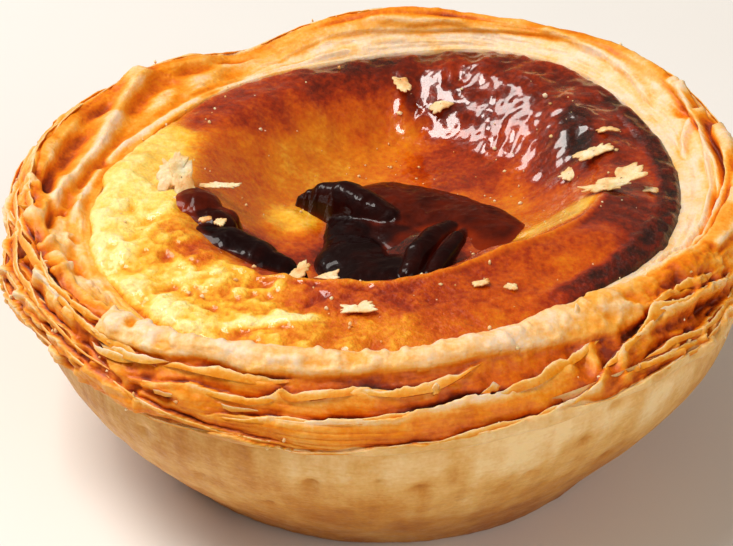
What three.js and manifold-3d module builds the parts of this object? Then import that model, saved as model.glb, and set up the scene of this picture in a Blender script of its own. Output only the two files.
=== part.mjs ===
// A Portuguese custard tart: a cup of flaky pastry with a leafy rim, filled with custard
// that has sunk into a crater and scorched into dark blisters, with pastry flakes on it.
// Millimetres, +Z up, origin under the middle of the base. Angles are in degrees,
// counted from +X (0) to the back (90), the left (180) and the front (270).
import * as THREE from 'three';
import { mergeVertices } from 'three/addons/utils/BufferGeometryUtils.js';
import Module from 'manifold-3d';

const wasm = await Module();
wasm.setup();
const { lerp, smoothstep, degToRad, radToDeg } = THREE.MathUtils;

// A measure that wanders round the tart has a mean, with bumps [angle, width, amount] and
// waves [count, phase in radians, amount] added to it.

// The pastry cup
const baseRadius = 24.6;
const baseRound = 1.2;
const wallBelly = 1.1; // how fully the wall bulges out
const footRadius = { mean: 37.0, waves: [[3, 0.8, 0.3]] }; // under the leafy rim
const footHeight = {
  mean: 19.3, // higher at the front right
  bumps: [[262, 30, 0.8], [300, 24, 2.6]],
  waves: [[2, -0.4, 0.3], [7, 0, 0.3]],
};
const overhang = 0.6; // how far the leaves stand out over the wall
const bellyRadius = {
  mean: 41.2, // control point of the rim's outer curve
  bumps: [[198, 9, 0.9], [187, 5, -0.9], [222, 12, -0.4]],
  waves: [[5, 1.1, 0.35], [11, 0, 0.25]],
};
const bellyHeight = { mean: 22.6, bumps: [[116, 11, -0.9], [150, 30, -0.3]] };
const crestRadius = {
  mean: 36.2, // the rim's top; its front leans in over the custard
  bumps: [[305, 30, -6.2], [260, 22, -3.0], [45, 26, 1.5], [116, 14, -1.4], [187, 6, -0.5]],
  waves: [[7, 0.5, 0.15]],
};
const crestHeight = {
  mean: 28.2,
  bumps: [[78, 30, 0.7], [116, 11, -2.4], [150, 30, -1.0], [35, 22, 0.5], [205, 26, -0.7]],
  waves: [[9, 0.6, 0.25]],
};
const crestRound = 0.9;
const lipHollow = 0.5;
const gapWidth = 0.05; // half width of a gap between leaves, as a share of the band
const crag = { depth: 0.22, count: 23, climb: 9 }; // small uneven folds of the leaves

// The custard, longest from the back right to the front left
const edgeRadius = {
  mean: 30.1,
  bumps: [[338, 18, 1.4], [28, 22, -1.1]],
  waves: [[2, 1.75, 2.7], [1, 0.87, 0.9], [6, 0.4, 0.15]],
};
const edgeHeight = { mean: 26.0, bumps: [[230, 24, -0.7], [55, 20, 0.4], [95, 25, -0.8], [300, 40, 0.5]] };
const floorHeight = 3.4; // pastry under the custard
const cupFullness = 0.22;
const jointGap = 0.35; // clearance between pastry and custard
const shoulderHeight = { mean: 1.4, bumps: [[80, 60, -1.3], [225, 30, 0.5]] };
const crater = {
  x: 1,
  y: 2,
  depth: 6.4,
  flatShare: 0.5, // where the floor ends, as a share of the radius
  radius: {
    mean: 21.8,
    bumps: [[75, 48, 6.3], [208, 25, 2.0], [300, 24, -3.2]],
    waves: [[5, 0.9, 0.4]],
  },
};
const swells = [
  { x: 6.2, y: -3.4, width: 7.2, depth: 6.4, height: 2.6 }, // the floor under the domes
  { x: 24.0, y: -5.5, width: 4.5, depth: 6.0, height: 0.8 }, // the lobe at the right
];
const lumps = { height: 0.22, across: 0.9, phase: 1.3, along: 0.8, from: 15, to: 21 };

// How finely the surfaces are divided
const slices = 90;
const wallRows = 6;
const bandRows = 20;
const lipRows = 4;
const cupRows = 7;
const topShares = [0.95, 0.89, 0.82, 0.75, 0.67, 0.59, 0.51, 0.42, 0.33, 0.23, 0.12];

// Gaps between the leaves of the rim. Each runs from one angle to another, at a share of
// the way up the band that changes from start to end and sags in between.
const leafGaps = [
  { from: 230, to: 288, start: 0.66, end: 0.93, sag: 0, depth: 1.0 },
  { from: 235, to: 258, start: 0.83, end: 0.93, sag: 0.02, depth: 0.7 },
  { from: 243, to: 309, start: 0.53, end: 0.87, sag: 0, depth: 2.0 },
  { from: 226, to: 260, start: 0.56, end: 0.34, sag: -0.03, depth: 0.8 },
  { from: 228, to: 308, start: 0.25, end: 0.72, sag: -0.06, depth: 1.1 },
  { from: 296, to: 336, start: 0.48, end: 0.62, sag: -0.05, depth: 1.1 },
  { from: 304, to: 342, start: 0.7, end: 0.76, sag: 0.14, depth: 1.3 },
  { from: 312, to: 340, start: 0.64, end: 0.68, sag: -0.02, depth: 1.3 },
  { from: 318, to: 338, start: 0.92, end: 0.87, sag: 0.02, depth: 0.8 },
  { from: 176, to: 224, start: 0.63, end: 0.39, sag: 0, depth: 1.0 },
  { from: 186, to: 230, start: 0.89, end: 0.63, sag: 0.03, depth: 1.0 },
  { from: 200, to: 236, start: 0.97, end: 0.81, sag: 0.02, depth: 0.8 },
  { from: 206, to: 228, start: 0.6, end: 0.53, sag: 0.02, depth: 0.7 },
  ...spiralGaps(342, 7),
];

// Blisters that the oven scorched on the custard, as long domes
const blisters = [
  { x: -19.2, y: -2.9, z: 25.2, length: 9.2, width: 6.2, height: 4.8, turn: -12 },
  { x: -18.2, y: -5.0, z: 25.2, length: 6.6, width: 4.2, height: 3.8, turn: -9 },
  { x: -13.6, y: -9.4, z: 24.4, length: 12.2, width: 5.2, height: 4.8, turn: -29 },
  { x: -2.8, y: 3.6, z: 21.2, length: 13.2, width: 4.8, height: 7.0, turn: -32 },
  { x: -1.6, y: -5.0, z: 20.6, length: 11.0, width: 14.0, height: 5.4, turn: 10 },
  { x: 5.0, y: 1.5, z: 19.9, length: 18.0, width: 13.4, height: 6.6, turn: -30 },
  { x: 4.4, y: -6.0, z: 22.6, length: 11.0, width: 2.8, height: 3.8, turn: 58 },
  { x: 6.2, y: -7.2, z: 22.8, length: 10.4, width: 2.0, height: 3.2, turn: 64 },
];
const blisterSides = 16;
const blisterRings = 10;

// Flakes of pastry that fell on the custard
const flakes = [
  { x: -21.5, y: 0.3, length: 4.2, width: 3.0, turn: 80, tilt: 40 },
  { x: -16.9, y: 1.4, length: 3.4, width: 1.3, turn: -5, tilt: 6 },
  { x: 24.2, y: -0.2, length: 4.4, width: 2.8, turn: 20, tilt: 14 },
  { x: 22.4, y: -1.4, length: 4.6, width: 1.3, turn: 8, tilt: 4 },
  { x: 22.0, y: 7.4, length: 4.2, width: 1.7, turn: 30, tilt: 8 },
  { x: 23.6, y: 11.4, length: 2.2, width: 1.1, turn: 0, tilt: 10 },
  { x: 2.0, y: 26.6, length: 6.0, width: 1.7, turn: -82, tilt: 8 },
  { x: 6.4, y: 24.0, length: 2.6, width: 1.8, turn: 40, tilt: 10 },
  { x: -2.6, y: -23.0, length: 3.2, width: 1.7, turn: 6, tilt: 8 },
  { x: 19.4, y: 6.4, length: 1.9, width: 1.5, turn: 50, tilt: 12 },
  { x: -8.4, y: -16.6, length: 2.6, width: 1.4, turn: 60, tilt: 14 },
  { x: -5.6, y: -15.6, length: 2.8, width: 1.2, turn: 15, tilt: 12 },
];
const flakeOutline = [[0.5, 0.1], [0.24, 0.5], [-0.2, 0.4], [-0.5, 0.16], [-0.34, -0.42], [0.3, -0.5]];
const flakeThickness = 0.5;
const flakeSink = 0.25;
const uprightSink = 1.1; // how much deeper a flake that stands on end is set

// The gaps of the sides and back, where the leaves climb round the rim in a spiral
function spiralGaps(firstAngle, turns) {
  const levels = [0.3, 0.58, 0.84];
  const [turnStep, levelStep, span, climb] = [30, 11, 40, 0.09];
  return Array.from({ length: turns * levels.length }, (_, k) => {
    const level = k % levels.length;
    const from = firstAngle + Math.floor(k / levels.length) * turnStep + level * levelStep;
    const start = levels[level] - 0.06 * Math.cos(k * 2.4);
    const depth = 1.0 + 0.4 * Math.sin(k * 1.7);
    return { from, to: from + span, start, end: start + climb, sag: 0.03, depth };
  });
}

// 1 at one angle, fading away over a width, either way round
function near(angle, centre, width) {
  const apart = Math.abs(((angle - centre + 900) % 360) - 180);
  return Math.exp(-((apart / width) ** 2));
}

// A measure at an angle
function around({ mean, bumps = [], waves = [] }, angle) {
  const turn = degToRad(angle);
  return mean + bumps.reduce((sum, [centre, width, amount]) => sum + amount * near(angle, centre, width), 0)
    + waves.reduce((sum, [count, phase, amount]) => sum + amount * Math.cos(count * turn - phase), 0);
}

// How deep the gaps between the leaves cut into the band, at a share of the way up it
function gapDepth(angle, share) {
  return leafGaps.reduce((deepest, gap) => {
    const along = (((angle - gap.from) % 360) + 360) % 360 / (gap.to - gap.from);
    if (along >= 1) return deepest;
    const ends = smoothstep(along, 0, 0.16) * (1 - smoothstep(along, 0.84, 1));
    const centre = lerp(gap.start, gap.end, along) + gap.sag * Math.sin(Math.PI * along);
    const depth = gap.depth * ends * Math.exp(-(((share - centre) / gapWidth) ** 2));
    return Math.max(deepest, depth);
  }, 0);
}

// A point of the leafy band, from the foot (share 0) to the crest (share 1)
function bandPoint(angle, share) {
  const start = [around(footRadius, angle) + overhang, around(footHeight, angle)];
  const belly = [around(bellyRadius, angle), around(bellyHeight, angle)];
  const crest = [around(crestRadius, angle), around(crestHeight, angle)];
  const at = (k) => (1 - share) ** 2 * start[k] + 2 * share * (1 - share) * belly[k] + share ** 2 * crest[k];
  const slope = (k) => (1 - share) * (belly[k] - start[k]) + share * (crest[k] - belly[k]);
  const length = Math.hypot(slope(0), slope(1));
  const fold = Math.sin(degToRad(angle) * crag.count + crag.climb * share) * Math.sin(Math.PI * share);
  const out = crag.depth * fold - gapDepth(angle, share);
  return [at(0) + out * slope(1) / length, at(1) - out * slope(0) / length];
}

// The side wall that the tin pressed, from the base to the foot of the leafy band
function wallPoint(angle, share) {
  const foot = [around(footRadius, angle), around(footHeight, angle)];
  const height = lerp(baseRound * 0.3, foot[1], share);
  const out = Math.sin(Math.PI / 2 * height / foot[1]) ** wallBelly;
  return [lerp(baseRadius, foot[0], out), height];
}

// Where the custard meets the pastry at an angle, as [radius, height]
function custardEdge(angle) {
  return [around(edgeRadius, angle), around(edgeHeight, angle)];
}

// The rim's inner face, from the crest (share 0) down to the custard's edge (share 1)
function lipPoint(angle, share) {
  const top = [around(crestRadius, angle) - crestRound, around(crestHeight, angle) - crestRound * 0.3];
  const edge = custardEdge(angle);
  const hollow = lipHollow * Math.sin(Math.PI * share);
  return [lerp(top[0], edge[0], share) - hollow * 0.3, lerp(top[1], edge[1], share) - hollow];
}

// The inside of the cup, from the custard's edge (share 0) to the middle of its floor
// (share 1), drawn in by a clearance
function cupPoint(angle, share, clearance) {
  const [radius, height] = custardEdge(angle);
  const a = share * Math.PI / 2;
  const low = floorHeight + clearance;
  return [(radius - clearance) * Math.cos(a) ** cupFullness, height - (height - low) * Math.sin(a)];
}

// The height of the custard's top surface
function custardTop(x, y) {
  const angle = radToDeg(Math.atan2(y, x));
  const [radius, level] = custardEdge(angle);
  const out = Math.min(1, Math.hypot(x, y) / (radius - jointGap));
  const puff = around(shoulderHeight, angle) * Math.sin(Math.PI * out) ** 0.8;
  const fromCrater = Math.hypot(x - crater.x, y - crater.y);
  const craterAngle = radToDeg(Math.atan2(y - crater.y, x - crater.x));
  const craterShare = fromCrater / around(crater.radius, craterAngle);
  const sunk = crater.depth * (1 - smoothstep(craterShare, crater.flatShare, 1.02));
  const swell = swells.reduce((sum, s) =>
    sum + s.height * Math.exp(-(((x - s.x) / s.width) ** 2) - (((y - s.y) / s.depth) ** 2)), 0);
  const lump = lumps.height * Math.sin(lumps.across * x + lumps.phase) * Math.cos(lumps.along * y);
  return level + puff - sunk + swell + lump * smoothstep(fromCrater, lumps.from, lumps.to);
}

// A closed solid from rings of points, listed from one end of the axis to the other
function solidOfRings(startHeight, rings, endHeight) {
  const points = [0, 0, startHeight, ...rings.flat(2), 0, 0, endHeight];
  const faces = [];
  const last = rings.length * slices + 1;
  for (let k = 0; k < slices; k++) {
    const next = (k + 1) % slices;
    faces.push(0, 1 + next, 1 + k);
    for (let row = 0; row + 1 < rings.length; row++) {
      const low = 1 + row * slices;
      const high = low + slices;
      faces.push(low + k, low + next, high + next, low + k, high + next, high + k);
    }
    faces.push(last, last - slices + k, last - slices + next);
  }
  const geometry = new THREE.BufferGeometry();
  geometry.setAttribute('position', new THREE.Float32BufferAttribute(points, 3));
  geometry.setIndex(faces);
  return geometry;
}

// One ring of points, with [radius, height] given by a function of the angle
function ring(pointAt) {
  return Array.from({ length: slices }, (_, k) => {
    const angle = k * 360 / slices;
    const [radius, height] = pointAt(angle);
    return [radius * Math.cos(degToRad(angle)), radius * Math.sin(degToRad(angle)), height];
  });
}

// Rings from the first row to the last, with the row number given to a function
function rows(first, last, pointAt) {
  return Array.from({ length: last - first + 1 }, (_, k) => ring((angle) => pointAt(angle, first + k)));
}

function pastryGeometry() {
  const rings = [
    ring(() => [baseRadius - baseRound, 0]),
    ...rows(0, wallRows, (angle, row) => wallPoint(angle, row / wallRows)),
    ...rows(0, bandRows, (angle, row) => bandPoint(angle, row / bandRows)),
    ...rows(0, lipRows, (angle, row) => lipPoint(angle, row / lipRows)),
    ...rows(1, cupRows - 1, (angle, row) => cupPoint(angle, row / cupRows, 0)),
  ];
  return solidOfRings(0, rings, floorHeight);
}

function custardBody() {
  const top = topShares.map((share) => ring((angle) => {
    const radius = share * (custardEdge(angle)[0] - jointGap);
    const a = degToRad(angle);
    return [radius, custardTop(radius * Math.cos(a), radius * Math.sin(a))];
  }));
  const rings = [
    ...rows(0, cupRows - 1, (angle, row) => cupPoint(angle, 1 - (row + 1) / cupRows, jointGap)),
    ...top,
  ];
  return solidOfRings(floorHeight + jointGap, rings, custardTop(0, 0));
}

function toManifold(geometry) {
  geometry.deleteAttribute('normal');
  geometry.deleteAttribute('uv');
  const merged = mergeVertices(geometry, 1e-4);
  return new wasm.Manifold(new wasm.Mesh({
    numProp: 3,
    vertProperties: merged.attributes.position.array,
    triVerts: merged.index.array,
  }));
}

function toGeometry(manifold) {
  const { vertProperties, triVerts } = manifold.getMesh();
  const geometry = new THREE.BufferGeometry();
  geometry.setAttribute('position', new THREE.BufferAttribute(vertProperties, 3));
  geometry.setIndex(new THREE.BufferAttribute(triVerts, 1));
  return geometry;
}

function blisterSolid({ x, y, z, length, width, height, turn }) {
  const geometry = new THREE.SphereGeometry(0.5, blisterSides, blisterRings);
  geometry.rotateX(Math.PI / 2);
  geometry.scale(length, width, height);
  geometry.rotateZ(degToRad(turn));
  geometry.translate(x, y, z);
  return toManifold(geometry);
}

// The way the custard's top faces at a place
function custardNormal(x, y) {
  const step = 0.5;
  const slopeX = (custardTop(x + step, y) - custardTop(x - step, y)) / (2 * step);
  const slopeY = (custardTop(x, y + step) - custardTop(x, y - step)) / (2 * step);
  return new THREE.Vector3(-slopeX, -slopeY, 1).normalize();
}

// A torn flake: an uneven six-sided sheet with its lower end sunk in the custard
function flakeSolid({ x, y, length, width, turn, tilt }) {
  const corners = flakeOutline.map(([u, v]) => new THREE.Vector2((u + 0.5) * length, v * width));
  const sheet = { depth: flakeThickness, bevelEnabled: false };
  const geometry = new THREE.ExtrudeGeometry(new THREE.Shape(corners), sheet);
  geometry.rotateY(degToRad(-tilt));
  const up = custardNormal(x, y);
  const heading = new THREE.Vector3(Math.cos(degToRad(turn)), Math.sin(degToRad(turn)), 0);
  const across = new THREE.Vector3().crossVectors(up, heading).normalize();
  const along = new THREE.Vector3().crossVectors(across, up);
  const start = new THREE.Vector3(x, y, custardTop(x, y))
    .addScaledVector(along, -length / 2 * Math.cos(degToRad(tilt)))
    .addScaledVector(up, -flakeSink - uprightSink * Math.sin(degToRad(tilt)));
  geometry.applyMatrix4(new THREE.Matrix4().makeBasis(along, across, up).setPosition(start));
  return toManifold(geometry);
}

function custardGeometry() {
  const toppings = [...blisters.map(blisterSolid), ...flakes.map(flakeSolid)];
  return toGeometry(toppings.reduce((whole, topping) => whole.add(topping), toManifold(custardBody())));
}

function named(name, geometry, color, roughness) {
  const mesh = new THREE.Mesh(geometry, new THREE.MeshStandardMaterial({ color, roughness, metalness: 0 }));
  mesh.name = name;
  return mesh;
}

const tart = new THREE.Group();
tart.add(named('pastry_shell', pastryGeometry(), 0xdfa85c, 0.7));
tart.add(named('custard', custardGeometry(), 0xc9701c, 0.25));

export default tart;
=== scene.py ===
# Looks of a Portuguese custard tart: a flaky pastry cup with a leafy rim, and glossy custard with
# scorched blisters and fallen pastry flakes. Sizes are in millimetres until a mesh is made.
# Angles are in degrees from +X (0) to the back (90), the left (180) and the front (270).
import math
import bpy
import numpy as np
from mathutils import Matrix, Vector


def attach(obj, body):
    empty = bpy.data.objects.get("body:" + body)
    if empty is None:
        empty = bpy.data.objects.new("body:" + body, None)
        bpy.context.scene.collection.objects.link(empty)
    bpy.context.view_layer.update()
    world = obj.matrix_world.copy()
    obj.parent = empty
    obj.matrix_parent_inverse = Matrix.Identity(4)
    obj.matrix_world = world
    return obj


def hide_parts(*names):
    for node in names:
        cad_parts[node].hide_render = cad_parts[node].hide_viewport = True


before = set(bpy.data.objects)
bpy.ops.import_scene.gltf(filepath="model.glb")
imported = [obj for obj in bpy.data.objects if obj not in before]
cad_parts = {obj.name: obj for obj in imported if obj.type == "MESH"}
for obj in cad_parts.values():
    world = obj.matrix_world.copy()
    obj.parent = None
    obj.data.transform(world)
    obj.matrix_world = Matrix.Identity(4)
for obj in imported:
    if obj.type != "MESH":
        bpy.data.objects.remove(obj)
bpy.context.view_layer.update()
toMetres = 0.001

# The tart's own measures. One that wanders round the tart has a mean, with bumps
# [angle, width, amount] and waves [count, phase, amount] added to it.
tart = {
    "baseRadius": 24.6,
    "baseRound": 1.2,
    "wallBelly": 1.1,
    "footRadius": {"mean": 37.0, "waves": [[3, 0.8, 0.3]]},
    "footHeight": {
        "mean": 19.3,
        "bumps": [[262, 30, 0.8], [300, 24, 2.6]],
        "waves": [[2, -0.4, 0.3], [7, 0, 0.3]],
    },
    "overhang": 0.6,
    "bellyRadius": {
        "mean": 41.2,
        "bumps": [[198, 9, 0.9], [187, 5, -0.9], [222, 12, -0.4]],
        "waves": [[5, 1.1, 0.35], [11, 0, 0.25]],
    },
    "bellyHeight": {"mean": 22.6, "bumps": [[116, 11, -0.9], [150, 30, -0.3]]},
    "crestRadius": {
        "mean": 36.2,
        "bumps": [[305, 30, -6.2], [260, 22, -3.0], [45, 26, 1.5], [116, 14, -1.4], [187, 6, -0.5]],
        "waves": [[7, 0.5, 0.15]],
    },
    "crestHeight": {
        "mean": 28.2,
        "bumps": [[78, 30, 0.7], [116, 11, -2.4], [150, 30, -1.0], [35, 22, 0.5], [205, 26, -0.7]],
        "waves": [[9, 0.6, 0.25]],
    },
    "crestRound": 0.9,
    "lipHollow": 0.5,
    "edgeRadius": {
        "mean": 30.1,
        "bumps": [[338, 18, 1.4], [28, 22, -1.1]],
        "waves": [[2, 1.75, 2.7], [1, 0.87, 0.9], [6, 0.4, 0.15]],
    },
    "edgeHeight": {
        "mean": 26.0,
        "bumps": [[230, 24, -0.7], [55, 20, 0.4], [95, 25, -0.8], [300, 40, 0.5]],
    },
    "floorHeight": 3.4,
    "cupFullness": 0.22,
}


# How far an angle is turned from another, from -180 to 180
def turnFrom(centre, angle):
    return (angle - centre + 900) % 360 - 180


# 1 at one angle, fading away over a width, either way round
def near(angle, centre, width):
    return np.exp(-(turnFrom(centre, angle) / width) ** 2)


def around(measure, angle):
    total = np.zeros_like(angle, dtype=float) + measure["mean"]
    for centre, width, amount in measure.get("bumps", ()):
        total += amount * near(angle, centre, width)
    for count, phase, amount in measure.get("waves", ()):
        total += amount * np.cos(count * np.radians(angle) - phase)
    return total


# 0 below one value and 1 past another, eased between; the other way round when low is the larger
def ease(value, low, high):
    t = np.clip((value - low) / (high - low), 0, 1)
    return t * t * (3 - 2 * t)


def mix(first, second, share):
    return first + (second - first) * share


# Smooth random values from -1 to 1 at points in space, with about one bump to each scale
def bumpy(points, scale, seed):
    placed = np.asarray(points) / scale + seed * 17.37
    cell = np.floor(placed).astype(np.int64)
    inside = placed - cell
    inside = inside * inside * (3 - 2 * inside)
    total = np.zeros(placed.shape[:-1])
    for corner in np.ndindex(2, 2, 2):
        key = (cell + corner) * [73856093, 19349663, 83492791]
        mixed = (key[..., 0] ^ key[..., 1] ^ key[..., 2] ^ (seed * 2654435)) & 0xFFFFFFFF
        mixed = ((mixed ^ (mixed >> 15)) * 2246822519) & 0xFFFFFFFF
        mixed = ((mixed ^ (mixed >> 13)) * 3266489917) & 0xFFFFFFFF
        value = (mixed >> 8 & 0xFFFF) / 32767.5 - 1
        total += np.prod(np.where(corner, inside, 1 - inside), axis=-1) * value
    return total


def rough(points, scale, seed, octaves=3):
    gains = 0.5 ** np.arange(octaves)
    layers = [gain * bumpy(points, scale * 0.5 ** k, seed + k) for k, gain in enumerate(gains)]
    return sum(layers) / gains.sum()


def polar(angle, radius, height):
    turn = np.radians(angle)
    return np.stack(np.broadcast_arrays(radius * np.cos(turn), radius * np.sin(turn), height), axis=-1)


# A point of the leafy band, from the foot (share 0) to the crest (share 1), moved outwards
def bandSurface(angle, share, out=0.0):
    foot = [around(tart["footRadius"], angle) + tart["overhang"], around(tart["footHeight"], angle)]
    belly = [around(tart["bellyRadius"], angle), around(tart["bellyHeight"], angle)]
    crest = [around(tart["crestRadius"], angle), around(tart["crestHeight"], angle)]
    at = [(1 - share) ** 2 * foot[k] + 2 * share * (1 - share) * belly[k] + share ** 2 * crest[k]
          for k in (0, 1)]
    slope = [(1 - share) * (belly[k] - foot[k]) + share * (crest[k] - belly[k]) for k in (0, 1)]
    length = np.hypot(*slope)
    return polar(angle, at[0] + out * slope[1] / length, at[1] - out * slope[0] / length)


# The side wall that the tin pressed
def wallSurface(angle, share):
    footHeight = around(tart["footHeight"], angle)
    height = mix(tart["baseRound"] * 0.3, footHeight, share)
    out = np.sin(np.pi / 2 * height / footHeight) ** tart["wallBelly"]
    return polar(angle, mix(tart["baseRadius"], around(tart["footRadius"], angle), out), height)


# The rim's inner face, from the crest down to the custard's edge
def lipSurface(angle, share):
    hollow = tart["lipHollow"] * np.sin(np.pi * share)
    topRadius = around(tart["crestRadius"], angle) - tart["crestRound"]
    topHeight = around(tart["crestHeight"], angle) - tart["crestRound"] * 0.3
    radius = mix(topRadius, around(tart["edgeRadius"], angle), share) - hollow * 0.3
    return polar(angle, radius, mix(topHeight, around(tart["edgeHeight"], angle), share) - hollow)


# The inside of the cup, from the custard's edge down to the floor, drawn in by a clearance
def cupSurface(angle, share, clearance):
    bend = share * np.pi / 2
    low = tart["floorHeight"] + clearance
    edge = around(tart["edgeHeight"], angle)
    radius = (around(tart["edgeRadius"], angle) - clearance) * np.cos(bend) ** tart["cupFullness"]
    return polar(angle, radius, edge - (edge - low) * np.sin(bend))


# Values of a grid evened out over their neighbours; its columns close into rings
def blurred(values, times):
    for _ in range(times):
        values = (np.roll(values, 1, axis=1) + 2 * values + np.roll(values, -1, axis=1)) / 4
        padded = np.pad(values, ((1, 1), (0, 0)), "edge")
        values = (padded[:-2] + 2 * values + padded[2:]) / 4
    return values


# The outward direction at each point of a grid whose columns close into rings
def gridNormals(grid):
    rowWay = np.gradient(grid, axis=0)
    columnWay = np.roll(grid, -1, axis=1) - np.roll(grid, 1, axis=1)
    normals = np.cross(columnWay, rowWay)
    return normals / np.maximum(np.linalg.norm(normals, axis=-1, keepdims=True), 1e-9)


# Quads over a grid of points; its columns close into rings unless it is open
def gridFaces(rowCount, columnCount, closed=True):
    row, column = np.mgrid[0:rowCount - 1, 0:columnCount if closed else columnCount - 1]
    beside = (column + 1) % columnCount
    corners = [row * columnCount + column, row * columnCount + beside,
               (row + 1) * columnCount + beside, (row + 1) * columnCount + column]
    return np.stack(corners, axis=-1).reshape(-1, 4)


# A mesh piece from points in millimetres, with a number at each point for its material to read
def makePiece(name, points, faces, numbers, material, replaced=None):
    mesh = bpy.data.meshes.new(name)
    mesh.from_pydata((np.asarray(points).reshape(-1, 3) * toMetres).tolist(), [], faces, shade_flat=False)
    for label, values in numbers.items():
        layer = mesh.attributes.new(label, "FLOAT", "POINT")
        layer.data.foreach_set("value", np.asarray(values, dtype=np.float32).ravel())
    mesh.materials.append(material)
    mesh.validate()
    piece = bpy.data.objects.new(name, mesh)
    bpy.context.scene.collection.objects.link(piece)
    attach(piece, "root")
    if replaced:
        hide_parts(replaced)
    print(name, len(mesh.vertices), "points")
    return piece


# Several small meshes as one list of points, faces and numbers
def gather(parts):
    points, faces, numbers, count = [], [], {}, 0
    for partPoints, partFaces, partNumbers in parts:
        partPoints = partPoints.reshape(-1, 3)
        points.append(partPoints)
        partFaces = partFaces.tolist() if hasattr(partFaces, "tolist") else partFaces
        faces.extend([[count + corner for corner in face] for face in partFaces])
        for label, values in partNumbers.items():
            numbers.setdefault(label, []).append(np.broadcast_to(values, len(partPoints)))
        count += len(partPoints)
    joined = {label: np.concatenate(rows) for label, rows in numbers.items()}
    return np.concatenate(points), faces, joined


# A screen colour from 0 to 255 as the renderer's linear colour
def tint(red, green, blue):
    shares = [value / 255 for value in (red, green, blue)]
    linear = [share / 12.92 if share <= 0.04 else ((share + 0.055) / 1.055) ** 2.4 for share in shares]
    return (*linear, 1.0)


# Small steps for building a material's node tree
class Recipe:
    def __init__(self, name):
        self.material = bpy.data.materials.new(name)
        self.material.use_nodes = True
        self.nodes = self.material.node_tree.nodes
        self.links = self.material.node_tree.links
        self.nodes.clear()
        self.shader = self.nodes.new("ShaderNodeBsdfPrincipled")
        output = self.nodes.new("ShaderNodeOutputMaterial")
        self.links.new(self.shader.outputs["BSDF"], output.inputs["Surface"])
        self.place = self.nodes.new("ShaderNodeTexCoord").outputs["Object"]

    def plug(self, source, target):
        if hasattr(source, "is_linked"):
            self.links.new(source, target)
        else:
            target.default_value = source

    def number(self, label):
        node = self.nodes.new("ShaderNodeAttribute")
        node.attribute_name = label
        return node.outputs["Fac"]

    # Noise with one feature to about each size in millimetres, stretched where the steps differ
    def grain(self, size, detail=3.0, stretch=(1, 1, 1), warp=0.0):
        scaled = self.nodes.new("ShaderNodeMapping")
        scaled.inputs["Scale"].default_value = [1 / (size * toMetres * s) for s in stretch]
        self.plug(self.place, scaled.inputs["Vector"])
        node = self.nodes.new("ShaderNodeTexNoise")
        node.inputs["Scale"].default_value = 1.0
        node.inputs["Detail"].default_value = detail
        node.inputs["Distortion"].default_value = warp
        self.plug(scaled.outputs["Vector"], node.inputs["Vector"])
        return node.outputs["Fac"]

    # Cells of about a size in millimetres, dark in the middle
    def cells(self, size):
        node = self.nodes.new("ShaderNodeTexVoronoi")
        node.inputs["Scale"].default_value = 1 / (size * toMetres)
        self.plug(self.place, node.inputs["Vector"])
        return node.outputs["Distance"]

    def math(self, operation, first, second):
        node = self.nodes.new("ShaderNodeMath")
        node.operation = operation
        self.plug(first, node.inputs[0])
        self.plug(second, node.inputs[1])
        return node.outputs["Value"]

    # A value carried from one span to another and kept inside it
    def span(self, value, low, high, toLow=0.0, toHigh=1.0):
        node = self.nodes.new("ShaderNodeMapRange")
        self.plug(value, node.inputs["Value"])
        for target, amount in zip(list(node.inputs)[1:5], (low, high, toLow, toHigh)):
            target.default_value = amount
        return node.outputs["Result"]

    def ramp(self, value, stops):
        node = self.nodes.new("ShaderNodeValToRGB")
        elements = node.color_ramp.elements
        while len(elements) < len(stops):
            elements.new(0.5)
        for element, (position, colour) in zip(elements, stops):
            element.position = position
            element.color = tint(*colour)
        self.plug(value, node.inputs["Fac"])
        return node.outputs["Color"]

    def blend(self, share, first, second):
        node = self.nodes.new("ShaderNodeMix")
        node.data_type = "RGBA"
        colours = [socket for socket in node.inputs if socket.type == "RGBA"]
        self.plug(share, node.inputs["Factor"])
        self.plug(first, colours[0])
        self.plug(second, colours[1])
        return next(socket for socket in node.outputs if socket.type == "RGBA")

    # Bumps of a height in millimetres
    def bump(self, value, height, before=None):
        node = self.nodes.new("ShaderNodeBump")
        node.inputs["Strength"].default_value = 1.0
        node.inputs["Distance"].default_value = height * toMetres
        self.plug(value, node.inputs["Height"])
        if before is not None:
            self.plug(before, node.inputs["Normal"])
        return node.outputs["Normal"]


# All the pastry's finish: tone runs from pale to dark brown, and the part that the tin pressed is duller
pastry = {
    "leafColours": [
        [0.0, (240, 214, 184)], [0.12, (246, 202, 142)], [0.28, (242, 170, 66)], [0.44, (236, 138, 10)],
        [0.62, (214, 100, 0)], [0.82, (146, 48, 2)], [1.0, (84, 26, 4)],
    ],
    "pressedColours": [
        [0.0, (248, 214, 156)], [0.28, (228, 176, 98)], [0.48, (208, 142, 56)], [0.7, (180, 106, 22)],
        [1.0, (126, 62, 8)],
    ],
    "roughness": [0.36, 0.62],
}


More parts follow.
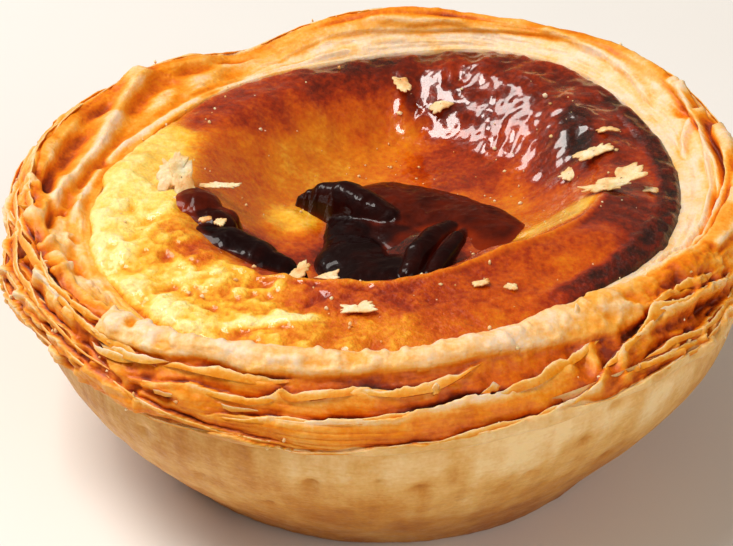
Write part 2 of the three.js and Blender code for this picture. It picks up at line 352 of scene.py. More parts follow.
def pastryMaterial():
    made = Recipe("bakedPastry")
    layered = made.grain(0.55, 4.0, stretch=(3, 3, 0.5))
    tone = made.math("ADD", made.number("bake"), made.span(layered, 0.25, 0.75, -0.05, 0.05))
    tone = made.math("ADD", tone, made.span(made.grain(2.6, 5.0), 0.25, 0.75, -0.09, 0.09))
    tone = made.math("ADD", tone, made.span(made.grain(0.4, 3.0), 0.3, 0.7, -0.05, 0.05))
    leafColour = made.ramp(tone, pastry["leafColours"])
    pressedColour = made.ramp(tone, pastry["pressedColours"])
    colour = made.blend(made.number("pressed"), leafColour, pressedColour)
    made.plug(colour, made.shader.inputs["Base Color"])
    made.plug(made.span(made.grain(1.1), 0.3, 0.7, *pastry["roughness"]), made.shader.inputs["Roughness"])
    normal = made.bump(layered, 0.05)
    normal = made.bump(made.grain(0.8, 4.0), 0.14, normal)
    normal = made.bump(made.span(made.cells(0.9), 0.0, 0.35), 0.05, normal)
    made.plug(normal, made.shader.inputs["Normal"])
    made.shader.inputs["Specular IOR Level"].default_value = 0.25
    made.shader.inputs["Subsurface Weight"].default_value = 0.2
    made.shader.inputs["Subsurface Radius"].default_value = (1.0, 0.4, 0.1)
    made.shader.inputs["Subsurface Scale"].default_value = 0.0016
    made.shader.inputs["Coat Weight"].default_value = 0.08
    made.shader.inputs["Coat Roughness"].default_value = 0.3
    return made.material


# The wall of the cup, pressed smooth by its tin
wall = {
    "columns": 560,
    "rows": 34,
    "lumps": [[7.0, 0.16], [2.2, 0.09]],  # size and height of its slow unevenness
    "wrinkles": {"spacing": 1.7, "height": 0.09},
    "pits": [  # angle, height, size and depth
        [259, 16.2, 0.9, 0.55], [269, 16.9, 0.7, 0.4], [275, 15.8, 0.9, 0.45], [307, 20.6, 1.0, 0.5],
        [302, 17.2, 0.8, 0.4], [284, 12.5, 0.6, 0.3], [240, 13.0, 0.7, 0.3], [231, 17.0, 0.8, 0.35],
        [251, 11.0, 0.5, 0.3], [293, 14.6, 0.6, 0.3], [264, 13.2, 0.4, -0.25], [310, 12.0, 0.8, 0.3],
    ],
    "randomPits": 60,
    "middleRadius": 35,
    "seed": 5,
}


# The tone of the pastry that the tin pressed, with pale and dark streaks up the wall
def pressedTone(grid, angles):
    height = grid[..., 2]
    upright = rough(polar(angles, 37.0, height / 7), 1.3, 27) * ease(height, 4, 12)
    tone = 0.42 - 0.12 * ease(height, 13, 20) + 0.16 * upright
    tone = tone - 0.16 * near(angles, 308, 20) * ease(height, 10, 18)
    return tone + 0.3 * rough(grid, 9.0, 21) + 0.16 * rough(grid, 2.2, 25)


# How far the pressed pastry stands out and in, with shallow creases that run up the wall
def pressedRelief(grid, angles):
    lumps = sum(size * rough(grid, scale, 11 + k) for k, (scale, size) in enumerate(wall["lumps"]))
    creases = wall["wrinkles"]
    depth = np.abs(bumpy(grid * [1, 1, 0.12], creases["spacing"], 3)) * (0.5 + near(angles, 215, 40))
    return lumps - creases["height"] * depth


def pastryCup(material):
    angle = np.arange(wall["columns"]) * 360 / wall["columns"]
    rng = np.random.default_rng(wall["seed"])
    baseEdge = tart["baseRadius"] - tart["baseRound"]
    flat = [polar(angle, radius, 0.0) for radius in (0.5, 12.0, 20.0, baseEdge)]
    sides = [wallSurface(angle, share) for share in np.linspace(0, 1.05, wall["rows"])]
    tucked = [bandSurface(angle, 0.0, -1.6), bandSurface(angle, 0.6, -3.6),
              lipSurface(angle, 0.6) - [0, 0, 2.4]]
    inside = [cupSurface(angle, share, 0.0) for share in (0.06, 0.2, 0.4, 0.6, 0.8, 0.93)]
    grid = np.stack(flat + sides + tucked + inside)
    wallOnly = np.zeros(grid.shape[:2])
    wallOnly[len(flat):len(flat) + wall["rows"]] = 1
    angles = np.broadcast_to(angle, grid.shape[:2])
    height = grid[..., 2]
    out = pressedRelief(grid, angles)
    pits = list(wall["pits"])
    for _ in range(wall["randomPits"]):
        pitAngle, pitHeight = rng.uniform(0, 360), rng.uniform(3, 18)
        pits.append([pitAngle, pitHeight, rng.uniform(0.3, 0.6), rng.uniform(0.1, 0.3)])
    pitted = np.zeros_like(out)
    for pitAngle, pitHeight, size, depth in pits:
        across = turnFrom(pitAngle, angles) * math.pi / 180 * wall["middleRadius"]
        pitted += depth * np.exp(-(across / size) ** 2 - ((height - pitHeight) / (size * 0.7)) ** 2)
    grid = grid + gridNormals(grid) * ((out - pitted) * wallOnly)[..., None]
    grid[..., 2] = np.maximum(grid[..., 2], 0.0)
    # the pitted term is painted shade in the pits, and painted light on the few raised ones
    bake = pressedTone(grid, angles) + 0.18 * ease(height, 12, 2) + 0.6 * pitted
    bake = bake - 0.18 * near(angles, 278, 9) * np.exp(-((height - 10.5) / 2.2) ** 2)
    faces = gridFaces(*grid.shape[:2]).tolist()
    faces.append(list(range(wall["columns"]))[::-1])
    last = (len(grid) - 1) * wall["columns"]
    faces.append(list(range(last, last + wall["columns"])))
    numbers = {"bake": bake, "pressed": np.ones_like(bake)}
    return makePiece("pastryCup", grid, faces, numbers, material, "pastry_shell")


# The leafy rim over the wall. The share is 0 at its foot, 1 at its crest and 2 at the custard.
rim = {
    "columns": 760,
    "crowding": 24,  # degrees by which the columns crowd towards the front
    "bandRows": 90,
    "lipRows": 34,
    "sharePerDegree": 0.055,  # so that steps along the rim and up it are alike in millimetres
    "radius": 38.0,
    "bandLength": 12.5,  # from its foot to its crest
    # A ledge is the top edge of a leaf under a gap: [angle, share, height of the step]
    "ledges": [
        [[235, 0.8, 0], [238, 0.86, 0.6], [246, 0.855, 0.8], [251, 0.85, 0.6], [255, 0.87, 0.4],
         [258, 0.9, 0]],
        [[230, 0.64, 0], [236, 0.68, 0.7], [241, 0.74, 0.8], [246, 0.71, 0.7], [250, 0.7, 0.7],
         [253, 0.74, 0.7], [254.5, 0.8, 0.9], [256, 0.77, 0.7], [261, 0.82, 0.8], [266, 0.85, 0.9],
         [272, 0.82, 0.9], [277, 0.83, 0.9], [281, 0.87, 0.6], [287, 0.91, 0]],
        [[243, 0.5, 0], [247, 0.53, 0.5], [252, 0.57, 0.8], [257, 0.61, 1.3], [264, 0.63, 1.8],
         [270, 0.65, 1.8], [276, 0.69, 1.5], [282, 0.74, 1.6], [286, 0.72, 1.9], [293, 0.74, 2.0],
         [298, 0.79, 1.3], [303, 0.82, 0.6], [309, 0.84, 0]],
        [[226, 0.54, 0], [232, 0.49, 0.6], [241, 0.4, 0.7], [247, 0.36, 0.6], [252, 0.33, 0.5],
         [260, 0.31, 0]],
        [[228, 0.22, 0], [236, 0.26, 0.5], [242, 0.29, 0.5], [248, 0.33, 0.5], [254, 0.27, 0.5],
         [258, 0.22, 0.6], [265, 0.29, 0.6], [269, 0.37, 0.6], [278, 0.4, 0.8], [286, 0.47, 1.0],
         [293, 0.5, 1.0], [298, 0.53, 0.9], [302, 0.6, 0.8], [305, 0.67, 0.5], [308, 0.72, 0]],
        [[296, 0.46, 0], [300, 0.44, 0.5], [304, 0.39, 0.6], [309, 0.4, 0.8], [314, 0.44, 1.0],
         [318, 0.47, 1.0], [322, 0.46, 0.9], [328, 0.53, 0.9], [336, 0.6, 0]],
        [[304, 0.66, 0], [308, 0.72, 0.8], [314, 0.8, 1.2], [320, 0.86, 1.0], [324, 0.83, 1.1],
         [333, 0.79, 0.9], [342, 0.74, 0]],
        [[312, 0.6, 0], [318, 0.64, 1.2], [323, 0.61, 1.4], [328, 0.6, 1.1], [334, 0.63, 0.5],
         [340, 0.66, 0]],
        [[318, 0.9, 0], [322, 0.91, 0.7], [326, 0.92, 0.8], [331, 0.88, 0.7], [338, 0.84, 0]],
        [[306, 0.54, 0], [310, 0.57, 0.6], [316, 0.55, 0.8], [322, 0.54, 0.7], [328, 0.56, 0]],
        [[176, 0.6, 0], [184, 0.56, 0.9], [192, 0.5, 1.0], [200, 0.44, 0.8], [210, 0.4, 0.7],
         [224, 0.36, 0]],
        [[186, 0.86, 0], [192, 0.84, 0.8], [200, 0.8, 0.9], [208, 0.74, 0.9], [218, 0.7, 0.8],
         [230, 0.6, 0]],
        [[200, 0.98, 0], [206, 0.96, 0.7], [214, 0.92, 0.8], [222, 0.88, 0.8], [230, 0.84, 0.7],
         [236, 0.78, 0]],
        [[206, 0.58, 0], [212, 0.57, 0.7], [220, 0.54, 0.8], [228, 0.5, 0]],
    ],
    "spiral": {"firstAngle": 342, "turns": 7, "levels": [0.3, 0.58, 0.84], "turnStep": 30,
               "levelStep": 11, "span": 40, "climb": 0.09, "wander": 0.06, "step": 0.9, "stepSpread": 0.35},
    "face": 0.16,  # how far down its face a leaf leans back
    "undercut": 0.085,  # how far up the gap over it reaches
    "standsOut": 0.4,  # how much of a ledge's step its leaf and its gap take
    "sinksIn": 0.75,
    # The gap over a leaf is painted darker as painted shade, and the leaf's edge paler as painted light
    "gapPaintedShade": 0.4,  # for each millimetre of the step
    "edgePaintedLight": 0.22,
    "pressedTop": [  # where the smooth side ends
        [0, 0.3], [40, 0.16], [200, 0.16], [228, 0.22], [236, 0.26], [248, 0.31], [258, 0.22],
        [269, 0.35], [278, 0.36], [286, 0.42], [293, 0.46], [298, 0.46], [304, 0.39], [314, 0.44],
        [322, 0.46], [330, 0.5], [345, 0.42], [360, 0.3],
    ],
    "crestEave": [  # the lower side of the rounded, pale top leaf
        [222, 0.86], [236, 0.88], [240, 0.92], [244, 0.9], [248, 0.87], [256, 0.89], [263, 0.91],
        [269, 0.93], [276, 0.92], [284, 0.93], [290, 0.92], [296, 0.9], [304, 0.87], [310, 0.82],
        [316, 0.84], [324, 0.9],
    ],
    # Each raised crease gets painted light on it and painted shade in the hollow beside it
    "folds": [  # raised creases: [angle, share], with a height, a half width and how much paler they are
        {"path": [[190, 0.98], [186, 1.1], [180, 1.3], [174, 1.5], [164, 1.56], [152, 1.36], [144, 1.16],
                  [138, 1.0]],
         "height": 0.9, "width": 0.11, "paintedLight": 0.16},
        {"path": [[196, 0.55], [198, 0.75], [199, 0.95], [197, 1.15]],
         "height": 0.6, "width": 0.055, "paintedLight": 0.1},
        {"path": [[204, 0.6], [206, 0.8], [207, 1.0], [205, 1.3]],
         "height": 0.5, "width": 0.055, "paintedLight": 0.08},
        {"path": [[188, 1.62], [180, 1.75], [172, 1.8]], "height": 0.5, "width": 0.1, "paintedLight": 0.15},
        {"path": [[166, 1.8], [151, 1.86], [137, 1.92], [122, 1.92], [108, 1.86], [98, 1.76]],
         "height": 0.4, "width": 0.07, "paintedLight": 0.3},
        {"path": [[32, 1.0], [24, 1.06], [21, 1.18], [18, 1.5], [14, 1.7]],
         "height": 0.6, "width": 0.05, "paintedLight": 0.2},
        {"path": [[22, 1.02], [14, 1.2], [7, 1.34], [358, 1.32], [351, 1.33], [344, 1.26], [338, 1.4],
                  [332, 1.5]],
         "height": 0.9, "width": 0.05, "paintedLight": 0.35},
        {"path": [[16, 1.0], [10, 1.0], [2, 1.08], [352, 1.14], [344, 1.12], [336, 1.2], [328, 1.4]],
         "height": 0.6, "width": 0.04, "paintedLight": 0.3},
        {"path": [[356, 0.98], [350, 1.02], [342, 1.03], [334, 1.04], [326, 1.1]],
         "height": 0.5, "width": 0.04, "paintedLight": 0.25},
        {"path": [[30, 1.0], [22, 1.1], [13, 1.19], [4, 1.21], [356, 1.25]],
         "height": 0.6, "width": 0.03, "paintedLight": 0.35},
        {"path": [[6, 0.94], [358, 0.98], [350, 0.95], [340, 0.97]],
         "height": 0.5, "width": 0.03, "paintedLight": 0.3},
        {"path": [[130, 1.5], [134, 1.7]], "height": 0.4, "width": 0.16, "paintedLight": 0.06},
        {"path": [[138, 1.45], [142, 1.6]], "height": 0.3, "width": 0.14, "paintedLight": 0.06},
        {"path": [[60, 1.05], [50, 1.2], [42, 1.3], [34, 1.5]],
         "height": 0.3, "width": 0.08, "paintedLight": 0.06},
        {"path": [[92, 1.1], [84, 1.2], [76, 1.15]], "height": 0.3, "width": 0.08, "paintedLight": 0.0},
        {"path": [[305, 0.8], [303.5, 0.66], [301, 0.54]], "height": 0.35, "width": 0.08, "paintedLight": 0.04},
        {"path": [[310, 0.78], [308, 0.62], [307, 0.5]], "height": 0.3, "width": 0.08, "paintedLight": 0.04},
    ],
    # A pocket's tone is painted shade in a hollow one, and painted light on a raised one with negative depth
    "pockets": [  # angle, share, half sizes in degrees and share, depth, and tone
        [293, 0.82, 9.0, 0.07, 0.5, 0.58], [282, 0.83, 7.0, 0.05, 0.3, 0.54],
        [302, 0.72, 1.4, 0.12, 0.5, 0.6], [306.5, 0.66, 1.2, 0.1, 0.5, 0.56],
        [166, 1.2, 8.0, 0.13, 1.1, 0.72], [176, 1.12, 5.0, 0.1, 0.9, 0.74],
        [188, 1.14, 4.0, 0.12, 0.9, 0.66], [152, 1.08, 5.0, 0.1, 0.7, 0.66],
        [203, 1.5, 6.0, 0.16, 0.6, 0.46], [212, 1.02, 3.5, 0.06, 0.8, 0.6],
        [226, 0.78, 3.0, 0.05, 0.7, 0.62], [216, 0.66, 3.0, 0.05, 0.6, 0.6],
        [236, 0.57, 3.5, 0.04, 0.7, 0.62], [201.5, 0.85, 2.4, 0.2, 0.8, 0.6],
        [195, 0.8, 2.0, 0.22, 0.9, 0.64], [323, 0.72, 6.0, 0.05, 0.8, 0.72],
        [330, 0.68, 5.0, 0.05, 0.8, 0.7], [316, 0.62, 4.0, 0.05, 0.6, 0.64],
        [281, 1.9, 9.0, 0.35, -0.8, 0.2], [186, 1.66, 4.0, 0.12, -0.5, 0.2],
        [190, 1.8, 4.0, 0.12, -0.5, 0.22], [318, 0.95, 1.6, 0.04, 0.5, 0.5],
        [7, 1.12, 8.0, 0.06, 1.1, 0.72], [354, 1.26, 6.0, 0.03, 0.7, 0.62],
        [18, 1.04, 3.0, 0.05, 0.7, 0.7], [25, 1.2, 2.2, 0.15, 0.5, 0.42],
        [342, 1.19, 5.0, 0.035, 0.5, 0.5], [345, 1.07, 7.0, 0.03, 0.6, 0.68],
        [20, 1.15, 4.0, 0.03, 0.6, 0.66], [146, 1.3, 5.0, 0.16, 0.6, 0.52],
        [137, 1.28, 3.0, 0.12, 0.5, 0.46], [128, 1.2, 4.5, 0.12, 0.6, 0.5],
        [119, 1.08, 4.0, 0.08, 0.6, 0.56], [131, 1.93, 4.0, 0.06, 0.3, 0.42],
        [122, 1.5, 3.5, 0.2, 0.4, 0.36], [76, 1.05, 7.0, 0.05, 0.5, 0.58],
        [95, 1.04, 8.0, 0.05, 0.4, 0.52], [66, 1.2, 5.0, 0.1, 0.3, 0.36],
    ],
    "creamFrom": [  # the inner face is golden down to this share and cream below it
        [0, 1.15], [30, 1.06], [49, 1.06], [60, 1.14], [72, 1.3], [82, 1.42], [90, 1.36], [100, 1.3],
        [115, 1.5], [135, 2.0], [150, 2.2], [215, 2.2], [235, 1.5], [300, 1.4], [330, 1.2], [360, 1.15],
    ],
    # Painted shade in the rim's hollows and painted light on its lumps
    "hollowShadeLumpLight": 0.42,  # how much darker each millimetre of a hollow is, and how much paler one of a lump
    "crag": {"depth": 0.16, "count": 23, "climb": 9},
    "fineLayers": {"count": 16, "depth": 0.12},
    "texture": {  # heights in millimetres
        "streaks": 0.22, "crumples": 1.9, "fineCrumples": 0.7, "lumps": 0.3, "grit": 0.12, "beads": 0.1,
        "topPores": 0.26, "topBeads": 0.14, "holes": 0.6, "raggedLumps": 0.6, "raggedGrit": 0.3,
        "raggedBeads": 0.15, "innerFace": 0.2,
    },
}


# The ledges of the sides and back climb in a spiral
def allLedges():
    turning = rim["spiral"]
    ledges = [np.array(path, float) for path in rim["ledges"]]
    levels = turning["levels"]
    for k in range(turning["turns"] * len(levels)):
        level = k % len(levels)
        begin = turning["firstAngle"] + level * turning["levelStep"]
        begin = begin + k // len(levels) * turning["turnStep"]
        start = levels[level] - turning["wander"] * math.cos(k * 2.4)
        step = turning["step"] + turning["stepSpread"] * math.sin(k * 1.7)
        along = np.linspace(0, 1, 9)
        rise = start + turning["climb"] * along + 0.03 * np.sin(np.pi * along)
        rise = rise + 0.012 * np.sin(along * 17 + k)
        heights = step * ease(along, 0, 0.2) * ease(along, 1, 0.8)
        ledges.append(np.stack([begin + turning["span"] * along, rise, heights], axis=1))
    return ledges


# The other numbers of a path at each angle, and whether the angle lies between its ends
def follow(path, angle):
    path = np.asarray(path, float)
    turned = (angle - path[0, 0]) % 360 + path[0, 0]
    inside = turned <= path[-1, 0]
    return [np.interp(turned, path[:, 0], path[:, k]) for k in range(1, path.shape[1])], inside


# How far the ledges move the surface, with the painted shade in their gaps and the painted light on their
# edges
def ledgeRelief(angle, share, jitter):
    out, shade = np.zeros_like(share), np.zeros_like(share)
    for path in allLedges():
        (centre, step), inside = follow(path, angle)
        step = step * inside
        down = centre + jitter - share
        onLeaf = ease(down, -0.007, 0.007)
        leaf = rim["standsOut"] * step * np.exp(-np.maximum(down, 0) / rim["face"])
        gap = -rim["sinksIn"] * step * np.exp(-np.maximum(-down, 0) / rim["undercut"])
        out = out + mix(gap, leaf, onLeaf)
        strength = np.minimum(step, 1.2)
        # painted shade in the gap over the leaf, painted light on the leaf's top edge
        dark = rim["gapPaintedShade"] * strength * np.exp(-np.maximum(-down, 0) / 0.05)
        pale = -rim["edgePaintedLight"] * strength * np.exp(-(np.maximum(down, 0) / 0.06) ** 2)
        shade = shade + mix(dark, pale, onLeaf)
    return out, shade


# How near points are to a path that may run across the rim, from 1 on it to 0
def nearPath(path, angle, share, width):
    closest = np.full_like(share, 9.0)
    for (angleA, shareA), (angleB, shareB) in zip(path[:-1], path[1:]):
        scale = rim["sharePerDegree"]
        u = turnFrom(angleA, angle) * scale
        v = share - shareA
        way = np.array([turnFrom(angleA, angleB) * scale, shareB - shareA])
        along = np.clip((u * way[0] + v * way[1]) / (way @ way), 0, 1)
        closest = np.minimum(closest, np.hypot(u - along * way[0], v - along * way[1]))
    return np.exp(-(closest / width) ** 2)


def leafyRim(material):
    turn = np.arange(rim["columns"]) / rim["columns"]
    angle = (360 * turn - rim["crowding"] * np.cos(2 * np.pi * turn)) % 360
    bandShare = np.linspace(0, 1, rim["bandRows"])
    lipShare = np.linspace(0, 1, rim["lipRows"])
    tucked = [bandSurface(angle, 0.0, -2.6), bandSurface(angle, 0.0, -1.6)]
    band = [bandSurface(angle, share) for share in bandShare]
    lip = [lipSurface(angle, share) for share in lipShare]
    under = [cupSurface(angle, 0.03, 0.0), cupSurface(angle, 0.08, -0.6)]
    grid = np.stack(tucked + band + lip + under)
    crestRow = len(tucked) + rim["bandRows"]
    for _ in range(3):  # rounds the crest
        rows = slice(crestRow - 4, crestRow + 4)
        grid[rows] = (grid[crestRow - 5:crestRow + 3] + 2 * grid[rows] + grid[crestRow - 3:crestRow + 5]) / 4
    share = np.concatenate([[-0.1, -0.05], bandShare, 1 + lipShare, [2.05, 2.1]])
    share = np.broadcast_to(share[:, None], grid.shape[:2])
    angles = np.broadcast_to(angle, grid.shape[:2])
    onBand = ease(share, 1.04, 0.98) * (share >= 0)
    front = ease(near(angles, 266, 62), 0.25, 0.75)
    left = ease(near(angles, 205, 34), 0.15, 0.8)
    back = near(angles, 80, 62)

    planPoints = grid * [1, 1, 0]
    jitter = 0.02 * bumpy(planPoints, 1.5, 41) + 0.016 * bumpy(planPoints, 4.0, 43)
    jitter = jitter + 0.008 * bumpy(planPoints, 0.6, 45)
    out, shade = ledgeRelief(angles, share, jitter)
    uneven = 0.85 + 0.7 * rough(grid, 3.4, 47, 2)
    out, shade = out * onBand * uneven, shade * onBand * uneven
    crag = rim["crag"]
    crags = np.sin(np.radians(angles) * crag["count"] + crag["climb"] * share)
    out = out + crag["depth"] * crags * np.sin(np.pi * np.clip(share, 0, 1))
    bake = 0.42 - 0.12 * near(angles, 75, 60) + 0.15 * rough(grid, 6.0, 111) + shade
    creamFrom = np.interp(angles, *np.array(rim["creamFrom"], float).T)
    innerTone = mix(0.26, 0.05, ease(share, creamFrom - 0.1, creamFrom + 0.1)) + 0.1 * near(angles, 295, 30)
    onLip = ease(share, 1.05, 1.25)
    bake = mix(bake, innerTone + 0.12 * rough(grid, 3.0, 121), onLip)

    sheetEdge = ease(share, creamFrom + 0.04, creamFrom - 0.02) * onLip * near(angles, 50, 75)
    out = out + 0.4 * sheetEdge
    # a thin line of painted shade just below the sheet's edge
    bake = bake + 0.2 * np.exp(-((share - creamFrom - 0.05) / 0.05) ** 2) * onLip * near(angles, 50, 75)

    (eave,), inside = follow(rim["crestEave"], angles)
    over = ease(share, eave - 0.03, eave + 0.03) * front * inside * ease(share, 1.5, 1.1)
    below = np.exp(-np.maximum(eave - share, 0) / 0.09) * (share < eave) * front
    out = out + 0.45 * over - 0.35 * below
    # painted shade under the eave of the top leaf
    bake = bake + 0.06 * below * onBand
    bake = mix(bake, 0.04 + 0.14 * ease(share, eave + 0.12, eave), over * 0.85)
    for ridge in rim["folds"]:
        here = nearPath(ridge["path"], angles, share, ridge["width"])
        beside = nearPath(ridge["path"], angles, share, ridge["width"] * 2.2) - here
        out = out + ridge["height"] * (here - 0.35 * beside)
        # painted light on the crease, painted shade in the hollow beside it
        bake = bake - ridge["paintedLight"] * here + 0.22 * beside
    for centre, level, wide, tall, deep, tone in rim["pockets"]:
        patchy = 1 + 0.35 * rough(grid, 2.4, 131)
        away = (turnFrom(centre, angles) / wide) ** 2 + ((share - level) / tall) ** 2
        here = np.exp(-(away * patchy) ** 1.5)
        out = out - deep * here
        # painted shade in each hollow pocket, painted light on each raised one
        bake = mix(bake, tone, 0.8 * here)

    pressedTop = np.interp(angles, *np.array(rim["pressedTop"], float).T)
    pressedTop = pressedTop + 0.05 * rough(planPoints, 2.4, 171)
    pressedTop = pressedTop + 0.03 * np.abs(bumpy(planPoints, 0.9, 173))
    pressed = ease(share + 0.5 * jitter, pressedTop + 0.015, pressedTop - 0.015)
    leafy = 1 - pressed
    texture = rim["texture"]
    streaks = rough(polar(angles, rim["radius"] / 4, share * rim["bandLength"]), 1.0, 151)  # long and thin
    out = out + texture["streaks"] * streaks * leafy
    bake = bake + 0.16 * streaks
    crumpled = near(angles, 330, 20) * ease(share, 0.3, 0.5) * ease(share, 1.05, 0.9)
    creased = 0.25 - np.abs(rough(grid * [1, 1, 1.8], 2.8, 161))
    fineCreased = 0.2 - np.abs(rough(grid, 1.2, 165))
    out = out + crumpled * (texture["crumples"] * creased + texture["fineCrumples"] * fineCreased)
    fine = rim["fineLayers"]
    wander = 0.9 * rough(grid, 11.0, 51) + angles / 360 * 3
    line = np.abs(((share * fine["count"] + wander) % 1) - 0.5) * 2
    patchy = ease(rough(grid, 7.0, 61), -0.2, 0.3)
    out = out - fine["depth"] * ease(line, 0.45, 0.0) * patchy * onBand * leafy
    porous = rough(grid, 1.3, 71)
    beads = ease(bumpy(grid, 0.9, 73), 0.1, 0.8)  # small blisters of the baked leaves
    out = out + (texture["topPores"] * porous + texture["topBeads"] * beads) * over
    out = out + (texture["lumps"] * rough(grid, 4.0, 81) + texture["beads"] * beads) * leafy
    out = out + texture["grit"] * rough(grid, 1.2, 85) * leafy
    holes = ease(bumpy(grid, 1.7, 95), 0.2, 0.65)
    ragged = left * ease(share, 1.9, 1.5) * ease(share, 0.1, 0.3)
    out = out + ragged * (texture["raggedLumps"] * rough(grid, 3.0, 91) - texture["holes"] * holes)
    out = out + ragged * (texture["raggedGrit"] * rough(grid, 1.1, 93) + texture["raggedBeads"] * beads)
    # painted shade in the holes
    bake = bake + ragged * (0.2 * holes - 0.08)
    out = out + onLip * texture["innerFace"] * rough(grid * [1, 1, 0.7], 4.0, 101)
    out = out * mix(1, 0.3, ease(share, 1.75, 1.97))
    bake = bake - 0.05 * back * onBand
    # painted shade in the hollows and painted light on the lumps
    bake = bake - np.clip(rim["hollowShadeLumpLight"] * (out - blurred(out, 24)), -0.25, 0.12) * leafy
    bake = np.maximum(bake, 0.04 + 0.05 * porous)
    bake = mix(bake, pressedTone(grid, angles), pressed)
    out = out + pressed * pressedRelief(grid, angles)
    grid = grid + gridNormals(grid) * out[..., None]
    inwards = (tart["overhang"] + 0.35) * ease(share, 0.4, 0.0) * (share >= 0) * pressed  # meets the wall
    grid[..., :2] *= (1 - inwards / np.hypot(grid[..., 0], grid[..., 1]))[..., None]
    faces = gridFaces(*grid.shape[:2]).tolist()
    numbers = {"bake": bake, "pressed": pressed}
    return makePiece("leafyRim", grid, faces, numbers, material, "pastry_shell")


# Thin torn edges along the ledges, and loose leaves that stand out of the rim
leaves = {
    "loose": [  # [angle, share, how far it stands out]
        [[184.5, 0.93, 0], [187, 0.96, 1.5], [189, 0.95, 0]],
        [[276.5, 0.78, 0], [277.5, 0.82, 0.9], [279, 0.80, 0]],
        [[284.5, 0.74, 0], [286, 0.78, 1.2], [288, 0.76, 0]],
        [[235, 0.60, 0], [237, 0.64, 1.0], [239, 0.62, 0.4], [241, 0.6, 0]],
        [[305, 0.95, 0], [306.5, 0.99, 0.9], [309, 0.98, 0]],
        [[244, 0.62, 0], [248, 0.62, 0.6], [254, 0.64, 0]],
    ],
    "scattered": 26,
    "seed": 23,
    "thickness": 0.3,
    "step": 0.36,  # how far apart a leaf's points lie along it
    "rows": 6,
    "torn": 0.044,  # how far up the edge is torn, in shares
}


def leafSheet(path, seed, reachOut, tone):
    path = np.asarray(path, float)
    span = path[-1, 0] - path[0, 0]
    columns = max(8, int(span * math.pi / 180 * rim["radius"] / leaves["step"]))
    columnAngles = np.linspace(path[0, 0], path[-1, 0], columns)
    across, angle = np.meshgrid(np.linspace(0, 1, leaves["rows"]), columnAngles, indexing="ij")
    (level, step), _ = follow(path, angle)
    taper = ease(step, 0.0, 0.8)
    line = polar(angle, rim["radius"], seed * 7.0)
    torn = 0.9 * rough(line, 3.0, 201, 2) + 0.5 * np.abs(rough(line, 0.9, 205, 2)) - 0.1
    rise = leaves["torn"] * np.clip(torn, -1, 1) + 0.016 * bumpy(line, 4.0, 43)
    share = level + (across * (0.05 + rise) - 0.05) * taper
    back = np.maximum(level - share, 0)
    standing = rim["standsOut"] * step * np.exp(-back / rim["face"]) + reachOut * step * across ** 2
    out = -0.7 + np.sqrt(taper) * (0.5 + standing)  # its ends sink into the rim
    out = out + 0.1 * rough(line, 1.4, 211) * across
    half = leaves["thickness"] / 2 * (1.0 - 0.7 * across ** 3)
    outer = bandSurface(angle, np.clip(share, 0, 1.1), out + half)
    inner = bandSurface(angle, np.clip(share, 0, 1.1), out - half)
    grid = np.concatenate([outer, inner[::-1]])
    shade = tone + 0.1 - 0.34 * across ** 2 + 0.12 * rough(line, 2.0, 221)
    # each sheet is paler towards its free edge, and its underside is painted darker as painted shade
    shade = np.concatenate([shade, shade[::-1] + 0.25])
    numbers = {"bake": shade.ravel(), "pressed": np.zeros(shade.size)}
    return grid, gridFaces(*grid.shape[:2], closed=False), numbers


def tornLeaves(material):
    rng = np.random.default_rng(leaves["seed"])
    sheets = [leafSheet(path, k, 0.05, 0.34) for k, path in enumerate(allLedges())]
    sheets += [leafSheet(path, 60 + k, 0.9, 0.26) for k, path in enumerate(leaves["loose"])]
    for k in range(leaves["scattered"]):
        begin, span = rng.uniform(-16, 230), rng.uniform(5, 24)
        level, rise = rng.uniform(0.2, 0.92), rng.uniform(0, 0.08)
        reach = rng.uniform(0.4, 0.9)
        along = np.linspace(0, 1, 7)
        heights = reach * ease(along, 0, 0.3) * ease(along, 1, 0.7)
        path = np.stack([begin + span * along, level + rise * along, heights], axis=1)
        sheets.append(leafSheet(path, 90 + k, rng.uniform(0.0, 0.5), rng.uniform(0.2, 0.5)))
    points, faces, numbers = gather(sheets)
    return makePiece("tornLeaves", points, faces, numbers, material)


